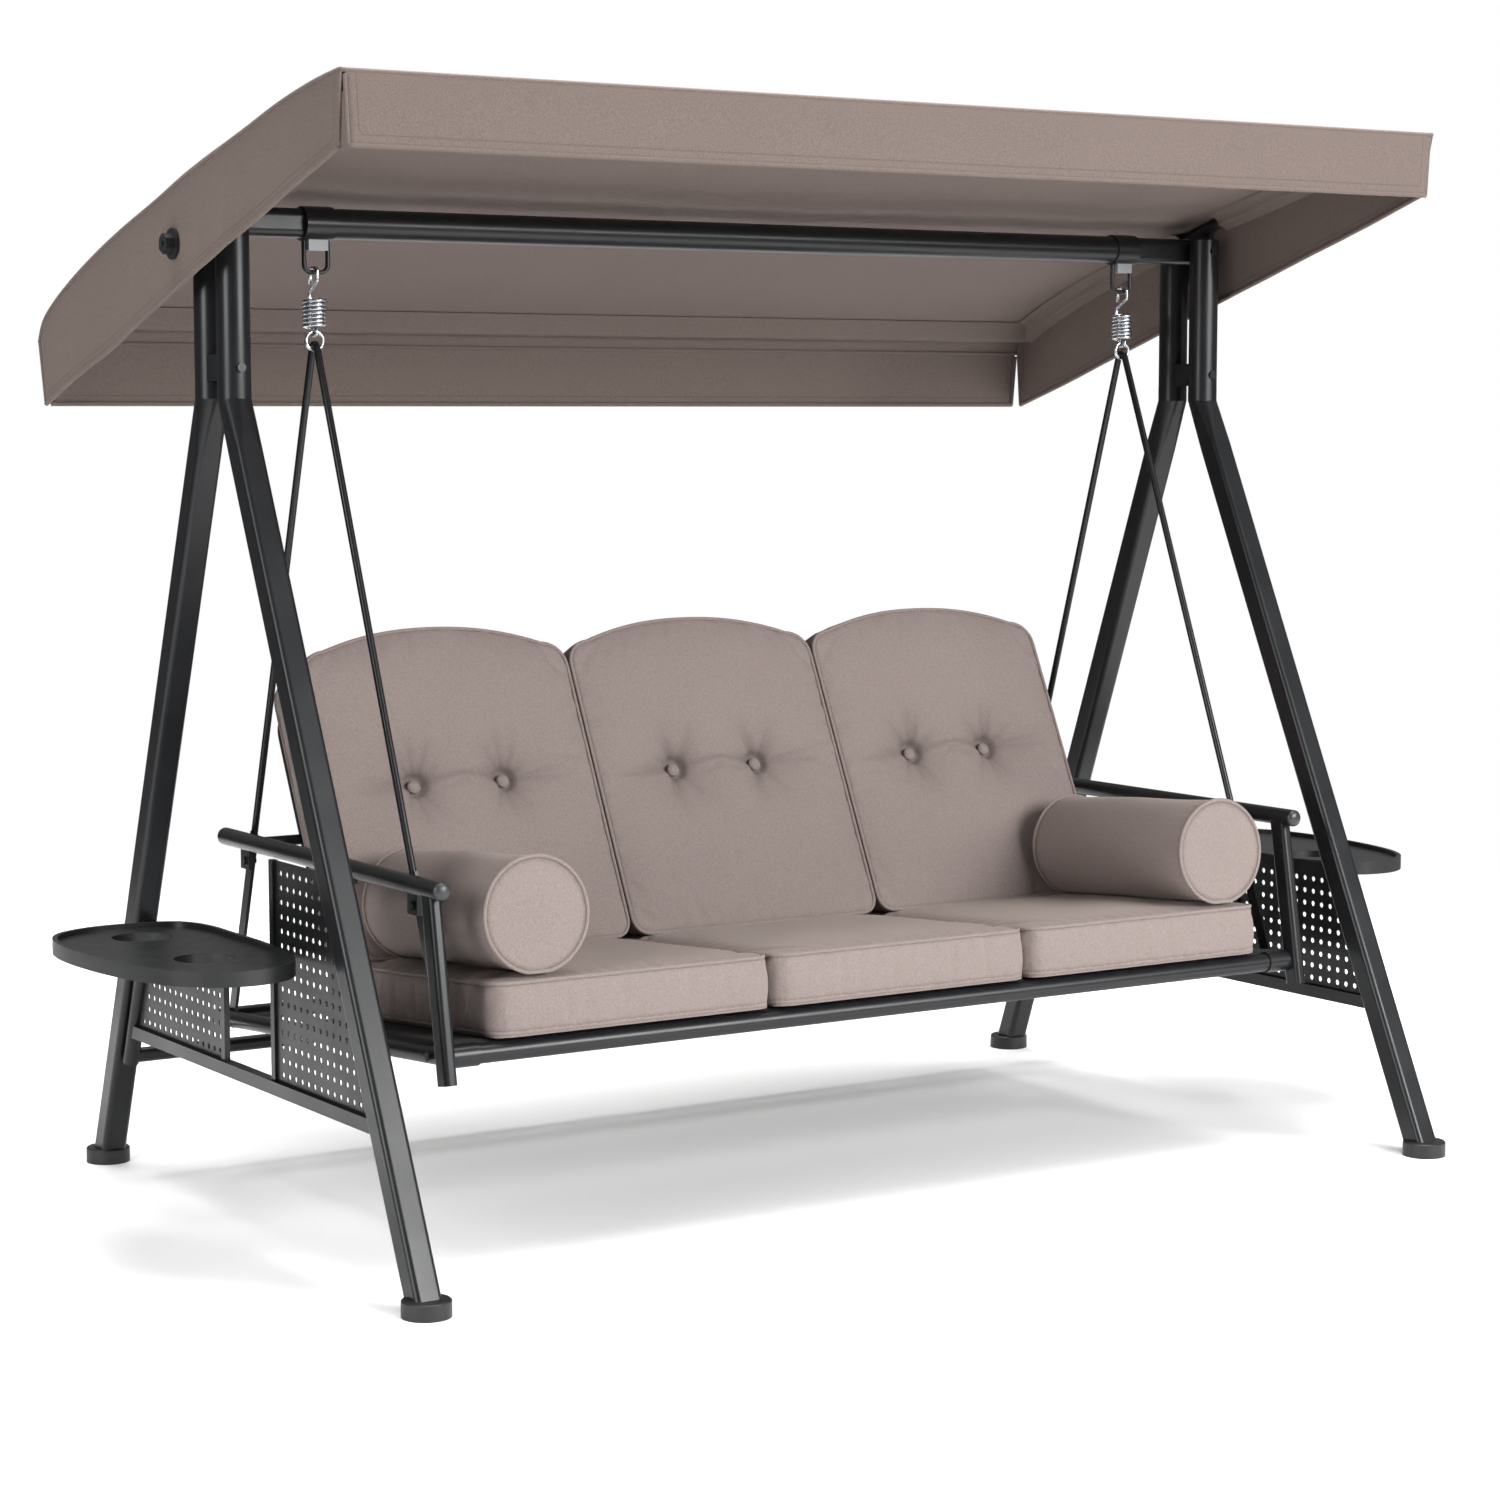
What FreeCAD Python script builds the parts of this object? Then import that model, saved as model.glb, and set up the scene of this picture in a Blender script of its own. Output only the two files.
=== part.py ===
"""Three-seat hanging porch swing with a tilting canopy and two side trays.

Axes: +X to the sitter's left-hand end seen from the front, +Y to the rear, +Z up; millimetres.
The origin is on the floor under the middle of the whole part. Sizes that run front to rear are
measured from the beam axis, which stands `beam_shift` behind the origin.
"""
import math
import os

import FreeCAD
import Part
import Sketcher

V = FreeCAD.Vector
Rotation = FreeCAD.Rotation
Placement = FreeCAD.Placement

SIZES = {
    # seat width: what the whole part's width follows from
    "cushion_wide": 520.0, "cushion_gap": 2.0, "rail_margin": 75.0, "stand_gap": 145.0,
    # stand
    "foot_front": 680.0, "foot_rear": 550.0, "foot_bore_depth": 18.0, "foot_dia": 76.0,
    "foot_tall": 26.0, "foot_bevel": 2.0, "leg_side": 45.0, "leg_corner": 9.0, "leg_wall": 2.0,
    "neck_drop": 282.0, "blend_length": 95.0, "seam_rise": 26.0, "upright_over": 21.0,
    "upright_dia": 54.0, "upright_wall": 2.0, "upright_offset": 44.0, "spigot_length": 22.0,
    "spigot_slack": 0.2, "beam_level": 1627.0, "beam_dia": 50.0, "beam_wall": 2.0,
    "beam_insert": 18.0, "collar_inward": 30.0, "collar_outward": 22.0, "collar_wall": 3.0,
    "stub_thick": 30.0, "stub_tall": 48.0, "stub_corner": 14.0, "stub_past_leg": 41.0,
    "bolt_dia": 8.0, "bolt_slack": 0.1, "low_bolt_rise": 23.0, "spacer_tall": 42.0,
    "spacer_wide": 34.0,
    # side frames
    "rail_level": 255.0, "rail_tall": 22.0, "rail_thick": 20.0, "post_deep": 14.0,
    "post_thick": 10.0, "rear_post_dia": 28.0, "rear_post_low": 196.0, "mid_front_post": 165.0,
    "mid_rear_post": 30.0, "left_panel_top": 620.0, "right_panel_top": 496.0,
    "panel_thick": 2.0, "hole_pitch": 23.0, "hole_dia": 9.5, "hole_margin": 13.0,
    "cross_tube_dia": 26.0, "cross_tube_level": 208.0,
    # trays
    "tray_level": 490.0, "tray_tall": 24.0, "tray_floor": 6.0, "tray_recess": 8.0,
    "tray_rim": 8.0, "tray_skirt": 4.0, "cup_dia": 96.0, "cup_wall": 4.0, "cup_past_leg": 142.0,
    "cup_rear": 32.0, "cup_front": 218.0, "bracket_past_leg": 246.0, "bracket_wide": 20.0,
    "bracket_tall": 8.0, "bracket_rear": 55.0, "bracket_front": 125.0, "tray_rail_tall": 14.0,
    # suspension
    "staple_wire": 8.0, "staple_span": 42.0, "staple_bend": 12.0,
    "staple_drop": 78.0, "spring_wire": 6.0, "coil_radius": 17.0, "coil_drop": 42.0,
    "coil_long": 46.0, "coil_turns": 7.034, "ring_radius": 15.0, "ring_drop": 22.0,
    "rod_dia": 12.0, "running_gap": 0.4, "blade_wide": 22.0, "blade_thick": 6.0,
    "blade_top": 606.0, "lug_bolt_level": 557.0, "lug_inset": 12.0, "lug_wide": 34.0,
    "front_rod_reach": 351.62, "rear_rod_reach": 278.10,
    # seat frame
    "seat_tilt": 4.5, "front_rail_reach": 470.0, "front_rail_level": 337.0,
    "front_rail_dia": 32.0, "front_rail_inset": 49.0, "socket_wall": 2.5,
    "side_rail_dia": 28.0, "frame_depth": 870.0, "frame_corner": 22.0, "tube_wall": 2.0,
    "mid_rail_depth": 526.0, "arm_past_rail": 7.0, "arm_level": 595.0, "arm_dia": 30.0,
    "arm_front": 474.0, "arm_rear": 330.0, "arm_cap": 9.0, "post_wide": 36.0,
    "post_flat": 22.0, "post_corner": 8.0, "post_top": 436.0, "post_foot": 488.0,
    "post_foot_level": 296.0, "web_thick": 6.0, "web_depth": 504.0,
    # back and cushions
    "recline": 26.0, "back_tube_dia": 25.0, "back_post_inset": 20.0, "back_frame_top": 525.0,
    "back_bend": 60.0, "back_web_thick": 4.0, "seat_cushion_tall": 95.0,
    "seat_cushion_depth": 552.0, "seat_overhang": 21.0, "cushion_round": 16.0,
    "back_foot_reach": 60.0, "back_side_high": 550.0, "back_mid_high": 600.0,
    "back_cushion_thick": 150.0, "button_dia": 22.0, "button_tall": 7.0, "button_span": 172.0,
    "button_high": 312.0, "bolster_dia": 186.0, "bolster_length": 430.0,
    "bolster_inset": 86.0, "bolster_front": 490.0, "bolster_round": 6.0, "rest_gap": 0.3,
    # canopy
    "canopy_past_leg": 68.0, "fabric": 3.0, "canopy_arm_dia": 18.0, "arm_inset": 13.0,
    "pivot_back": 30.0, "pivot_drop": 37.0, "valance_gap": 4.0, "front_valance_over": 77.0,
    "rear_valance_drop": 291.0, "hinge_plate": 4.0, "knob_dia": 50.0, "knob_base": 4.0,
    "knob_boss": 17.0, "knob_tall": 18.0, "knob_shaft": 8.0, "beam_shift": 46.0,
}
# each of these is worked out in the sheet from the sizes above and from one another
TIED = {
    "side_rail_line": "1.5 * cushion_wide + rail_margin",
    "leg_plane": "side_rail_line + stand_gap",
    "hook_line": "side_rail_line - (side_rail_dia + blade_thick) / 2",
    "arm_line": "side_rail_line + arm_past_rail",
    "lug_thick": "arm_line - lug_inset - hook_line - blade_thick / 2",
    "front_rail_half": "side_rail_line - front_rail_inset",
    "back_post_line": "1.5 * cushion_wide - back_post_inset",
    "bolster_line": "1.5 * cushion_wide - bolster_inset",
    "socket_dia": "front_rail_dia + 2 * socket_wall",
    "collar_in": "hook_line - collar_inward",
    "collar_out": "hook_line + collar_outward",
    "collar_dia": "beam_dia + 2 * collar_wall",
    "stub_end": "leg_plane + stub_past_leg",
    "cup_line": "leg_plane + cup_past_leg",
    "bracket_reach": "leg_plane + bracket_past_leg",
    "canopy_half": "leg_plane + canopy_past_leg",
    "canopy_arm_line": "canopy_half - arm_inset",
    "upright_top": "beam_level + upright_over",
    "bend_level": "beam_level - neck_drop",
    "seam_level": "bend_level + seam_rise",
    "low_bolt_level": "seam_level + low_bolt_rise",
    "high_bolt_level": "beam_level",
    "staple_low": "beam_level - staple_drop",
    "coil_top": "staple_low - coil_drop",
    "coil_low": "coil_top - coil_long",
    "ring_level": "coil_low - ring_drop",
    "pivot_level": "beam_level - pivot_drop",
    "valance_front_low": "beam_level + front_valance_over",
    "valance_rear_low": "beam_level - rear_valance_drop",
}
# the roof's line: front-to-rear places, and heights above the beam axis
ROOF_LINE = [
    (-580.0, 188.0), (-520.0, 181.0), (-450.0, 170.0), (-360.0, 152.0), (-270.0, 130.0),
    (-180.0, 108.0), (-80.0, 84.0), (20.0, 58.0), (100.0, 35.0), (200.0, 8.0), (300.0, -21.0),
    (380.0, -47.0), (460.0, -76.0), (530.0, -105.0), (580.0, -130.0), (610.0, -153.0),
    (626.0, -181.0),
]
# the tray's outline: places beyond the leg plane, and front to rear
TRAY_LINE = [
    (16.0, -20.0), (16.0, -150.0), (30.0, -285.0), (64.0, -372.0), (120.0, -406.0),
    (185.0, -400.0), (243.0, -350.0), (283.0, -250.0), (302.0, -110.0), (297.0, 10.0),
    (262.0, 92.0), (190.0, 130.0), (110.0, 132.0), (45.0, 110.0), (20.0, 55.0),
]
SIDES = (("left", -1), ("right", 1))

doc = FreeCAD.newDocument("porch_swing")
sheet = doc.addObject("Spreadsheet::Sheet", "Sizes")
for row, alias in enumerate([*SIZES, *TIED], start=1):
    sheet.set("A%d" % row, alias)
    sheet.setAlias("B%d" % row, alias)
    sheet.set("B%d" % row, str(SIZES[alias]) if alias in SIZES else "=" + TIED[alias])
doc.recompute()

NODES = {}


class Table:
    """Gives each size by its name, read back from the spreadsheet."""

    def __getattr__(self, alias):
        return float(sheet.get(alias))


T = Table()
YZ = Rotation(V(1, 1, 1), 120)


def place(x, y, z, rotation=None):
    """A placement from sizes measured from the beam axis."""
    return Placement(V(x, y + T.beam_shift, z), rotation or Rotation())


def along(direction):
    """The rotation that takes +Z to a direction."""
    return Rotation(V(0, 0, 1), V(*direction))


def size(obj, name, value):
    """Bind a size to an expression, or set it when it is a worked-out number."""
    if isinstance(value, str):
        obj.setExpression(name, value)
    else:
        setattr(obj, name, value)


def expr(alias, scale=1.0, extra=0.0):
    """An expression for a size in the sheet, scaled and with an amount added."""
    return "(Sizes.%s * %r + %r) * 1 mm" % (alias, scale, extra)


def add(kind, label):
    """Add an object with a label."""
    obj = doc.addObject(kind, "o_" + label)
    obj.Label = label
    return obj


def cylinder(label, radius, height, placement):
    """A solid cylinder that starts at its placement and runs along local Z."""
    obj = add("Part::Cylinder", label)
    size(obj, "Radius", radius)
    size(obj, "Height", height)
    obj.Placement = placement
    return obj


def box(label, length, width, height, placement, centred=(True, True, False)):
    """A box; `centred` says which of its local axes it is centred on."""
    obj = add("Part::Box", label)
    for name, value in (("Length", length), ("Width", width), ("Height", height)):
        size(obj, name, value)
    doc.recompute([obj])
    spans = (obj.Length.Value, obj.Width.Value, obj.Height.Value)
    shift = V(*[-s / 2 if c else 0.0 for s, c in zip(spans, centred)])
    obj.Placement = placement.multiply(Placement(shift, Rotation()))
    return obj


def rounded_box(label, length, width, height, radius, placement, which=None):
    """A box centred in X and Y with rounded edges: the upright four, or all of them."""
    core = box(label + "_core", length, width, height, placement)
    doc.recompute([core])
    edges = []
    back = core.Placement.Rotation.inverted()
    for number, edge in enumerate(core.Shape.Edges, start=1):
        run = back.multVec(edge.Vertexes[1].Point - edge.Vertexes[0].Point)
        if which == "all" or abs(run.x) + abs(run.y) < 1e-6:
            edges.append((number, radius, radius))
    obj = add("Part::Fillet", label)
    obj.Base = core
    obj.Edges = edges
    return obj


def fuse(label, shapes):
    """One solid from several."""
    obj = add("Part::MultiFuse", label)
    obj.Shapes = shapes
    return obj


def cut(label, base, tools):
    """A solid with others taken out of it."""
    tool = tools[0] if len(tools) == 1 else group(label + "_tools", tools)
    obj = add("Part::Cut", label)
    obj.Base = base
    obj.Tool = tool
    return obj


def group(label, shapes):
    """Several solids kept apart in one object."""
    obj = add("Part::Compound", label)
    obj.Links = shapes
    return obj


def node(obj):
    """Record the finished object of one node."""
    NODES[obj.Label] = obj
    return obj


def bar(label, start, end, radius):
    """A solid round bar between two points."""
    a, b = V(*start), V(*end)
    run = b - a
    return cylinder(label, radius, run.Length, place(a.x, a.y, a.z, Rotation(V(0, 0, 1), run)))


def tube(label, start, end, radius, wall):
    """A round tube between two points; radius is an alias expression and wall a number."""
    outer = bar(label + "_outer", start, end, radius)
    doc.recompute([outer])
    inner = bar(label + "_bore", start, end, outer.Radius.Value - wall)
    return cut(label, outer, [inner])


def flat_bar(label, start, end, wide, thick, radius=0.0):
    """A bar of rectangular section: `thick` runs along X and `wide` across it."""
    a, b = V(*start), V(*end)
    run = b - a
    across = V(1, 0, 0)
    rotation = Rotation(across, run.cross(across), run, "ZXY")
    placement = place(a.x, a.y, a.z, rotation)
    if radius:
        return rounded_box(label, thick, wide, run.Length, radius, placement)
    return box(label, thick, wide, run.Length, placement)


def sketch(label, shapes, placement):
    """A sketch holding the given curves."""
    obj = add("Sketcher::SketchObject", label)
    obj.addGeometry(shapes, False)
    obj.Placement = placement
    return obj


def polygon(points):
    """Closed straight-sided outline."""
    ring = [V(p[0], p[1], 0) for p in points]
    return [Part.LineSegment(a, b) for a, b in zip(ring, ring[1:] + ring[:1])]


def curve(points, closed=False):
    """A smooth curve through points."""
    spline = Part.BSplineCurve()
    spline.interpolate([V(p[0], p[1], 0) for p in points], PeriodicFlag=closed)
    return spline


def extrude(label, profile, length):
    """Extrude a sketch along its own normal."""
    obj = add("Part::Extrusion", label)
    obj.Base = profile
    obj.DirMode = "Normal"
    size(obj, "LengthFwd", length)
    obj.Solid = True
    return obj


def sweep(label, path, start, heading, radius):
    """Carry a disc along a path sketch; start and heading are in the path's own plane."""
    disc = add("Part::Circle", label + "_disc")
    size(disc, "Radius", radius)
    rotation = Rotation(V(0, 0, 1), V(heading[0], heading[1], 0))
    disc.Placement = path.Placement.multiply(Placement(V(start[0], start[1], 0), rotation))
    doc.recompute([disc, path])
    obj = add("Part::Sweep", label)
    obj.Sections = [disc]
    obj.Spine = (path, ["Edge%d" % (n + 1) for n in range(len(path.Shape.Edges))])
    obj.Solid = True
    obj.Frenet = False
    obj.Transition = "Round corner"
    return obj


def rounded_path(points, radius):
    """Lines through points with their inner corners rounded."""
    curves = []
    start = V(points[0][0], points[0][1], 0)
    for before, corner, after in zip(points, points[1:], points[2:]):
        c = V(corner[0], corner[1], 0)
        back = (V(before[0], before[1], 0) - c).normalize()
        ahead = (V(after[0], after[1], 0) - c).normalize()
        half = math.acos(max(-1.0, min(1.0, back.dot(ahead)))) / 2
        run = radius / math.tan(half)
        enter, leave = c + back * run, c + ahead * run
        middle = c + (back + ahead).normalize() * (radius / math.sin(half) - radius)
        curves.append(Part.LineSegment(start, enter))
        curves.append(Part.Arc(enter, middle, leave))
        start = leave
    curves.append(Part.LineSegment(start, V(points[-1][0], points[-1][1], 0)))
    return curves


def bolt(label, start, direction, length):
    """A bolt with a domed head at its start and a nut at its end; `length` is the grip."""
    d = V(*direction)
    radius = T.bolt_dia / 2
    turn = along(direction)
    top = place(*(V(*start) - d * radius), turn)
    shank = cylinder(label + "_shank", expr("bolt_dia", 0.5), length + 2 * radius, top)
    cap = cylinder(label + "_head", expr("bolt_dia", 0.9), radius, top)
    nut = add("Part::Prism", label + "_nut")
    nut.Polygon = 6
    nut.setExpression("Circumradius", expr("bolt_dia", 0.85))
    nut.setExpression("Height", expr("bolt_dia", 0.5))
    nut.Placement = place(*(V(*start) + d * length), turn)
    return fuse(label, [shank, cap, nut])


def bolt_hole(label, start, direction, length):
    """The bore that a bolt of the same start passes through."""
    shift = V(*direction) * 2.0
    return cylinder(label, expr("bolt_dia", 0.5, T.bolt_slack), length + 4.0,
                    place(*(V(*start) - shift), along(direction)))


# ---------------------------------------------------------------- legs and uprights
def rounded_square(label, side, corner, placement):
    """A rounded square outline whose side and corner radius are held by constraints."""
    obj = add("Sketcher::SketchObject", label)
    obj.Placement = placement
    half, inner = side / 2, side / 2 - corner
    mids = [(inner, inner), (-inner, inner), (-inner, -inner), (inner, -inner)]
    for quarter, (cx, cy) in enumerate(mids):
        circle = Part.Circle(V(cx, cy, 0), V(0, 0, 1), corner)
        a = quarter * math.pi / 2
        obj.addGeometry(Part.ArcOfCircle(circle, a, a + math.pi / 2), False)
        nx, ny = mids[(quarter + 1) % 4]
        out = V(math.cos(a + math.pi / 2), math.sin(a + math.pi / 2), 0) * corner
        obj.addGeometry(Part.LineSegment(V(cx, cy, 0) + out, V(nx, ny, 0) + out), False)
    for quarter in range(4):
        arc, line, after = 2 * quarter, 2 * quarter + 1, (2 * quarter + 2) % 8
        obj.addConstraint(Sketcher.Constraint("Tangent", arc, 2, line, 1))
        obj.addConstraint(Sketcher.Constraint("Tangent", line, 2, after, 1))
    obj.addConstraint(Sketcher.Constraint("Symmetric", 0, 3, 4, 3, -1, 1))
    return obj


def leg_points(side, foot, offset):
    """Bend point and floor point of a leg, with its unit direction downwards."""
    bend = V(side * T.leg_plane, offset, T.bend_level)
    floor = V(side * T.leg_plane, foot, 0.0)
    return bend, floor, (floor - bend).normalize()


def leg_solid(label, side, foot, offset, inset):
    """The outer or inner solid of one leg: round neck, blend, then square shaft."""
    bend, floor, down = leg_points(side, foot, offset)
    neck_side = T.upright_dia - 2 * inset
    shaft_side = T.leg_side - 2 * inset
    neck_low = place(*bend)
    # the top outline is a hair short of a full circle so that both outlines have eight edges
    neck_wire = rounded_square(label + "_neck", neck_side, neck_side / 2 - 0.4, neck_low)
    start = bend + down * T.blend_length
    facing = Rotation(V(1, 0, 0), V(0, 0, 0), down * -1, "ZXY")
    shaft_at = place(*start, facing)
    shaft_wire = rounded_square(label + "_square", shaft_side, max(T.leg_corner - inset, 1.0),
                                shaft_at)
    blend = add("Part::Loft", label + "_blend")
    blend.Sections = [neck_wire, shaft_wire]
    blend.Solid = True
    neck = extrude(label + "_collar", neck_wire, T.seam_level - T.bend_level)
    run = (floor - start).Length + 30.0
    shaft_back = add("Part::Extrusion", label + "_shaft")
    shaft_back.Base = shaft_wire
    shaft_back.DirMode = "Normal"
    shaft_back.LengthRev = run
    shaft_back.LengthFwd = 0.0
    shaft_back.Solid = True
    return fuse(label, [neck, blend, shaft_back])


def build_legs():
    """Four legs, cut level inside their feet, and the four feet that hold them."""
    outers, feet = {}, []
    level = T.foot_tall - T.foot_bore_depth
    for name, side in SIDES:
        for end, foot, offset in (("front", -T.foot_front, -T.upright_offset),
                                  ("rear", T.foot_rear, T.upright_offset)):
            label = "%s_%s_leg" % (name, end)
            outer = leg_solid(label + "_outer", side, foot, offset, 0.0)
            inner = leg_solid(label + "_inner", side, foot, offset, T.leg_wall)
            below = box(label + "_below", 300.0, 300.0, 300.0,
                        place(side * T.leg_plane, foot, level - 300.0))
            node(cut(label, outer, [inner, below]))
            outers[label] = outer
            pad = cylinder(label + "_pad", expr("foot_dia", 0.5), expr("foot_tall"),
                           place(side * T.leg_plane, foot, 0.0))
            rim = add("Part::Chamfer", label + "_rim")
            doc.recompute([pad])
            rim.Base = pad
            rim.Edges = [(n, T.foot_bevel, T.foot_bevel) for n, e in enumerate(pad.Shape.Edges, start=1)
                         if len(e.Vertexes) == 1 and e.CenterOfMass.z > 1.0]
            socket = add("Part::Cut", label + "_socket")
            socket.Base = outer
            socket.Tool = box(label + "_under", 300.0, 300.0, 300.0,
                              place(side * T.leg_plane, foot, level - 300.0))
            feet.append(cut(label + "_foot", rim, [socket]))
    node(group("feet", feet))
    return outers


def build_uprights():
    """Closed round posts that carry the beam, with the spacers and bolts between each pair."""
    spacers, bolts = [], []
    radius = T.upright_dia / 2
    for name, side in SIDES:
        x = side * T.leg_plane
        holes, pair = [], []
        for tag, level in (("low", T.low_bolt_level), ("high", T.high_bolt_level)):
            start = (x, -T.upright_offset - radius, level)
            grip = 2 * (T.upright_offset + radius)
            bolts.append(bolt("%s_%s_bolt" % (name, tag), start, (0, 1, 0), grip))
            holes.append((tag, start, grip))
        for end, way in (("front", -1), ("rear", 1)):
            label = "%s_%s_upright" % (name, end)
            y = way * T.upright_offset
            outer = cylinder(label + "_outer", expr("upright_dia", 0.5),
                             T.upright_top - T.seam_level, place(x, y, T.seam_level))
            spigot_radius = radius - T.leg_wall - T.spigot_slack
            spigot = cylinder(label + "_spigot", spigot_radius, expr("spigot_length", 1.0, 2.0),
                              place(x, y, T.seam_level - T.spigot_length))
            bore = cylinder(label + "_bore", spigot_radius - T.upright_wall,
                            T.upright_top - T.seam_level + T.spigot_length - 3.0,
                            place(x, y, T.seam_level - T.spigot_length))
            drills = [bolt_hole("%s_%s_drill" % (label, tag), start, (0, 1, 0), grip)
                      for tag, start, grip in holes]
            whole = fuse(label + "_whole", [outer, spigot])
            pair.append(cut(label, whole, [bore] + drills))
        node(group(name + "_uprights", pair))
        block = box(name + "_spacer_block", expr("spacer_wide"), 2 * T.upright_offset, expr("spacer_tall"),
                    place(x, 0.0, T.low_bolt_level - T.spacer_tall / 2))
        rounds = [cylinder("%s_spacer_round_%d" % (name, way), radius, expr("spacer_tall", 1.5),
                           place(x, way * T.upright_offset, T.low_bolt_level - T.spacer_tall))
                  for way in (-1, 1)]
        tag, start, grip = holes[0]
        drill = bolt_hole(name + "_spacer_drill", start, (0, 1, 0), grip)
        spacers.append(cut(name + "_spacer", block, rounds + [drill]))
    node(group("upright_spacers", spacers))
    node(group("upright_bolts", bolts))


def build_beam():
    """Main beam, its end pieces with flattened tails and hinge plates, and the hook staples."""
    half = T.collar_in + T.beam_insert
    node(tube("main_beam", (-half, 0, T.beam_level), (half, 0, T.beam_level),
              expr("beam_dia", 0.5), T.beam_wall))
    staples, saddles = [], []
    for name, side in SIDES:
        axis = (side, 0, 0)
        collar = cylinder(name + "_collar", expr("collar_dia", 0.5),
                          T.collar_out - T.collar_in,
                          place(side * T.collar_in, 0, T.beam_level, along(axis)))
        seat = cylinder(name + "_collar_bore", expr("beam_dia", 0.5, 0.1), 20.0,
                        place(side * (T.collar_in - 1.0), 0, T.beam_level, along(axis)))
        tail = rounded_box(name + "_tail_bar", expr("stub_tall"), expr("stub_thick"),
                           T.stub_end - T.collar_out + 2.0, T.stub_corner,
                           place(side * (T.collar_out - 2.0), 0, T.beam_level,
                                 Rotation(V(0, 0, 1), V(0, 1, 0), V(side, 0, 0), "ZXY")))
        plate = box(name + "_hinge_plate", expr("hinge_plate"), 76.0, 78.0,
                    place(side * (T.stub_end + T.hinge_plate / 2), 14.0, T.pivot_level - 20.0))
        solid = fuse(name + "_end_solid", [collar, tail, plate])
        drills = [bolt_hole(name + "_tail_drill", (side * T.leg_plane, -80.0, T.high_bolt_level),
                            (0, 1, 0), 160.0),
                  cylinder(name + "_pivot_bore", expr("knob_shaft", 0.5, T.bolt_slack), 60.0,
                           place(side * (T.stub_end - 30.0), T.pivot_back, T.pivot_level,
                                 along(axis)))]
        node(cut(name + "_beam_end", solid, [seat] + drills))

        middle = (T.collar_in + T.collar_out) / 2 * side
        reach = T.staple_span / 2
        path = sketch(name + "_staple_path", rounded_path(
            [(-reach, T.beam_level), (-reach, T.staple_low), (reach, T.staple_low),
             (reach, T.beam_level)], T.staple_bend), place(middle, 0, 0, Rotation(V(1, 0, 0), 90)))
        wire = sweep(name + "_staple_wire", path, (-reach, T.beam_level), (0, -1),
                     expr("staple_wire", 0.5))
        over = cylinder(name + "_staple_over", expr("collar_dia", 0.5), 120.0,
                        place(middle - 60.0, 0, T.beam_level, along((1, 0, 0))))
        staples.append(cut(name + "_staple", wire, [over]))
        block = box(name + "_saddle_block", T.staple_span - T.staple_wire, 22.0, 30.0,
                    place(middle, 0, T.beam_level - T.collar_dia / 2 - 15.0))
        saddles.append(cut(name + "_saddle", block, [over]))
    node(group("staples", staples))
    node(group("staple_saddles", saddles))


# ---------------------------------------------------------------- side frames and trays
def leg_line(way, level):
    """Front-to-rear place of a leg's axis at a height."""
    foot = -T.foot_front if way < 0 else T.foot_rear
    top = way * T.upright_offset
    return top + (foot - top) * (T.bend_level - level) / T.bend_level


def rear_post_line(level):
    """Front-to-rear place of the round post that lies along the front of a rear leg."""
    lean = math.atan2(T.foot_rear - T.upright_offset, T.bend_level)
    return leg_line(1, level) - (T.leg_side + T.rear_post_dia) / 2 / math.cos(lean)


def holes_in(corners):
    """Centres of the round holes that fit a four-sided panel, on a square grid."""
    ys = [c[0] for c in corners]
    zs = [c[1] for c in corners]
    centres = []
    count_y = int((max(ys) - min(ys)) / T.hole_pitch) + 2
    count_z = int((max(zs) - min(zs)) / T.hole_pitch) + 2
    for i in range(count_y):
        for j in range(count_z):
            y = min(ys) + T.hole_margin + i * T.hole_pitch
            z = min(zs) + T.hole_margin + j * T.hole_pitch
            if all(clear_of(corners[n], corners[(n + 1) % 4], y, z) for n in range(4)):
                centres.append((y, z))
    return centres


def clear_of(a, b, y, z):
    """Whether a point is inside an anticlockwise edge by the hole margin."""
    dy, dz = b[0] - a[0], b[1] - a[1]
    return (dy * (z - a[1]) - dz * (y - a[0])) / math.hypot(dy, dz) >= T.hole_margin - 0.01


def panel(label, side, corners, trims):
    """A perforated sheet; its corners run anticlockwise seen from +X."""
    at = place(side * T.leg_plane - T.panel_thick / 2, 0, 0, YZ)
    plate = extrude(label + "_plate", sketch(label + "_outline", polygon(corners), at),
                    expr("panel_thick"))
    rings = [Part.Circle(V(y, z, 0), V(0, 0, 1), T.hole_dia / 2) for y, z in holes_in(corners)]
    deep = place(side * T.leg_plane - 10.0, 0, 0, YZ)
    punch = extrude(label + "_punch", sketch(label + "_grid", rings, deep), 20.0)
    return node(cut(label, plate, [punch] + trims))


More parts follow.
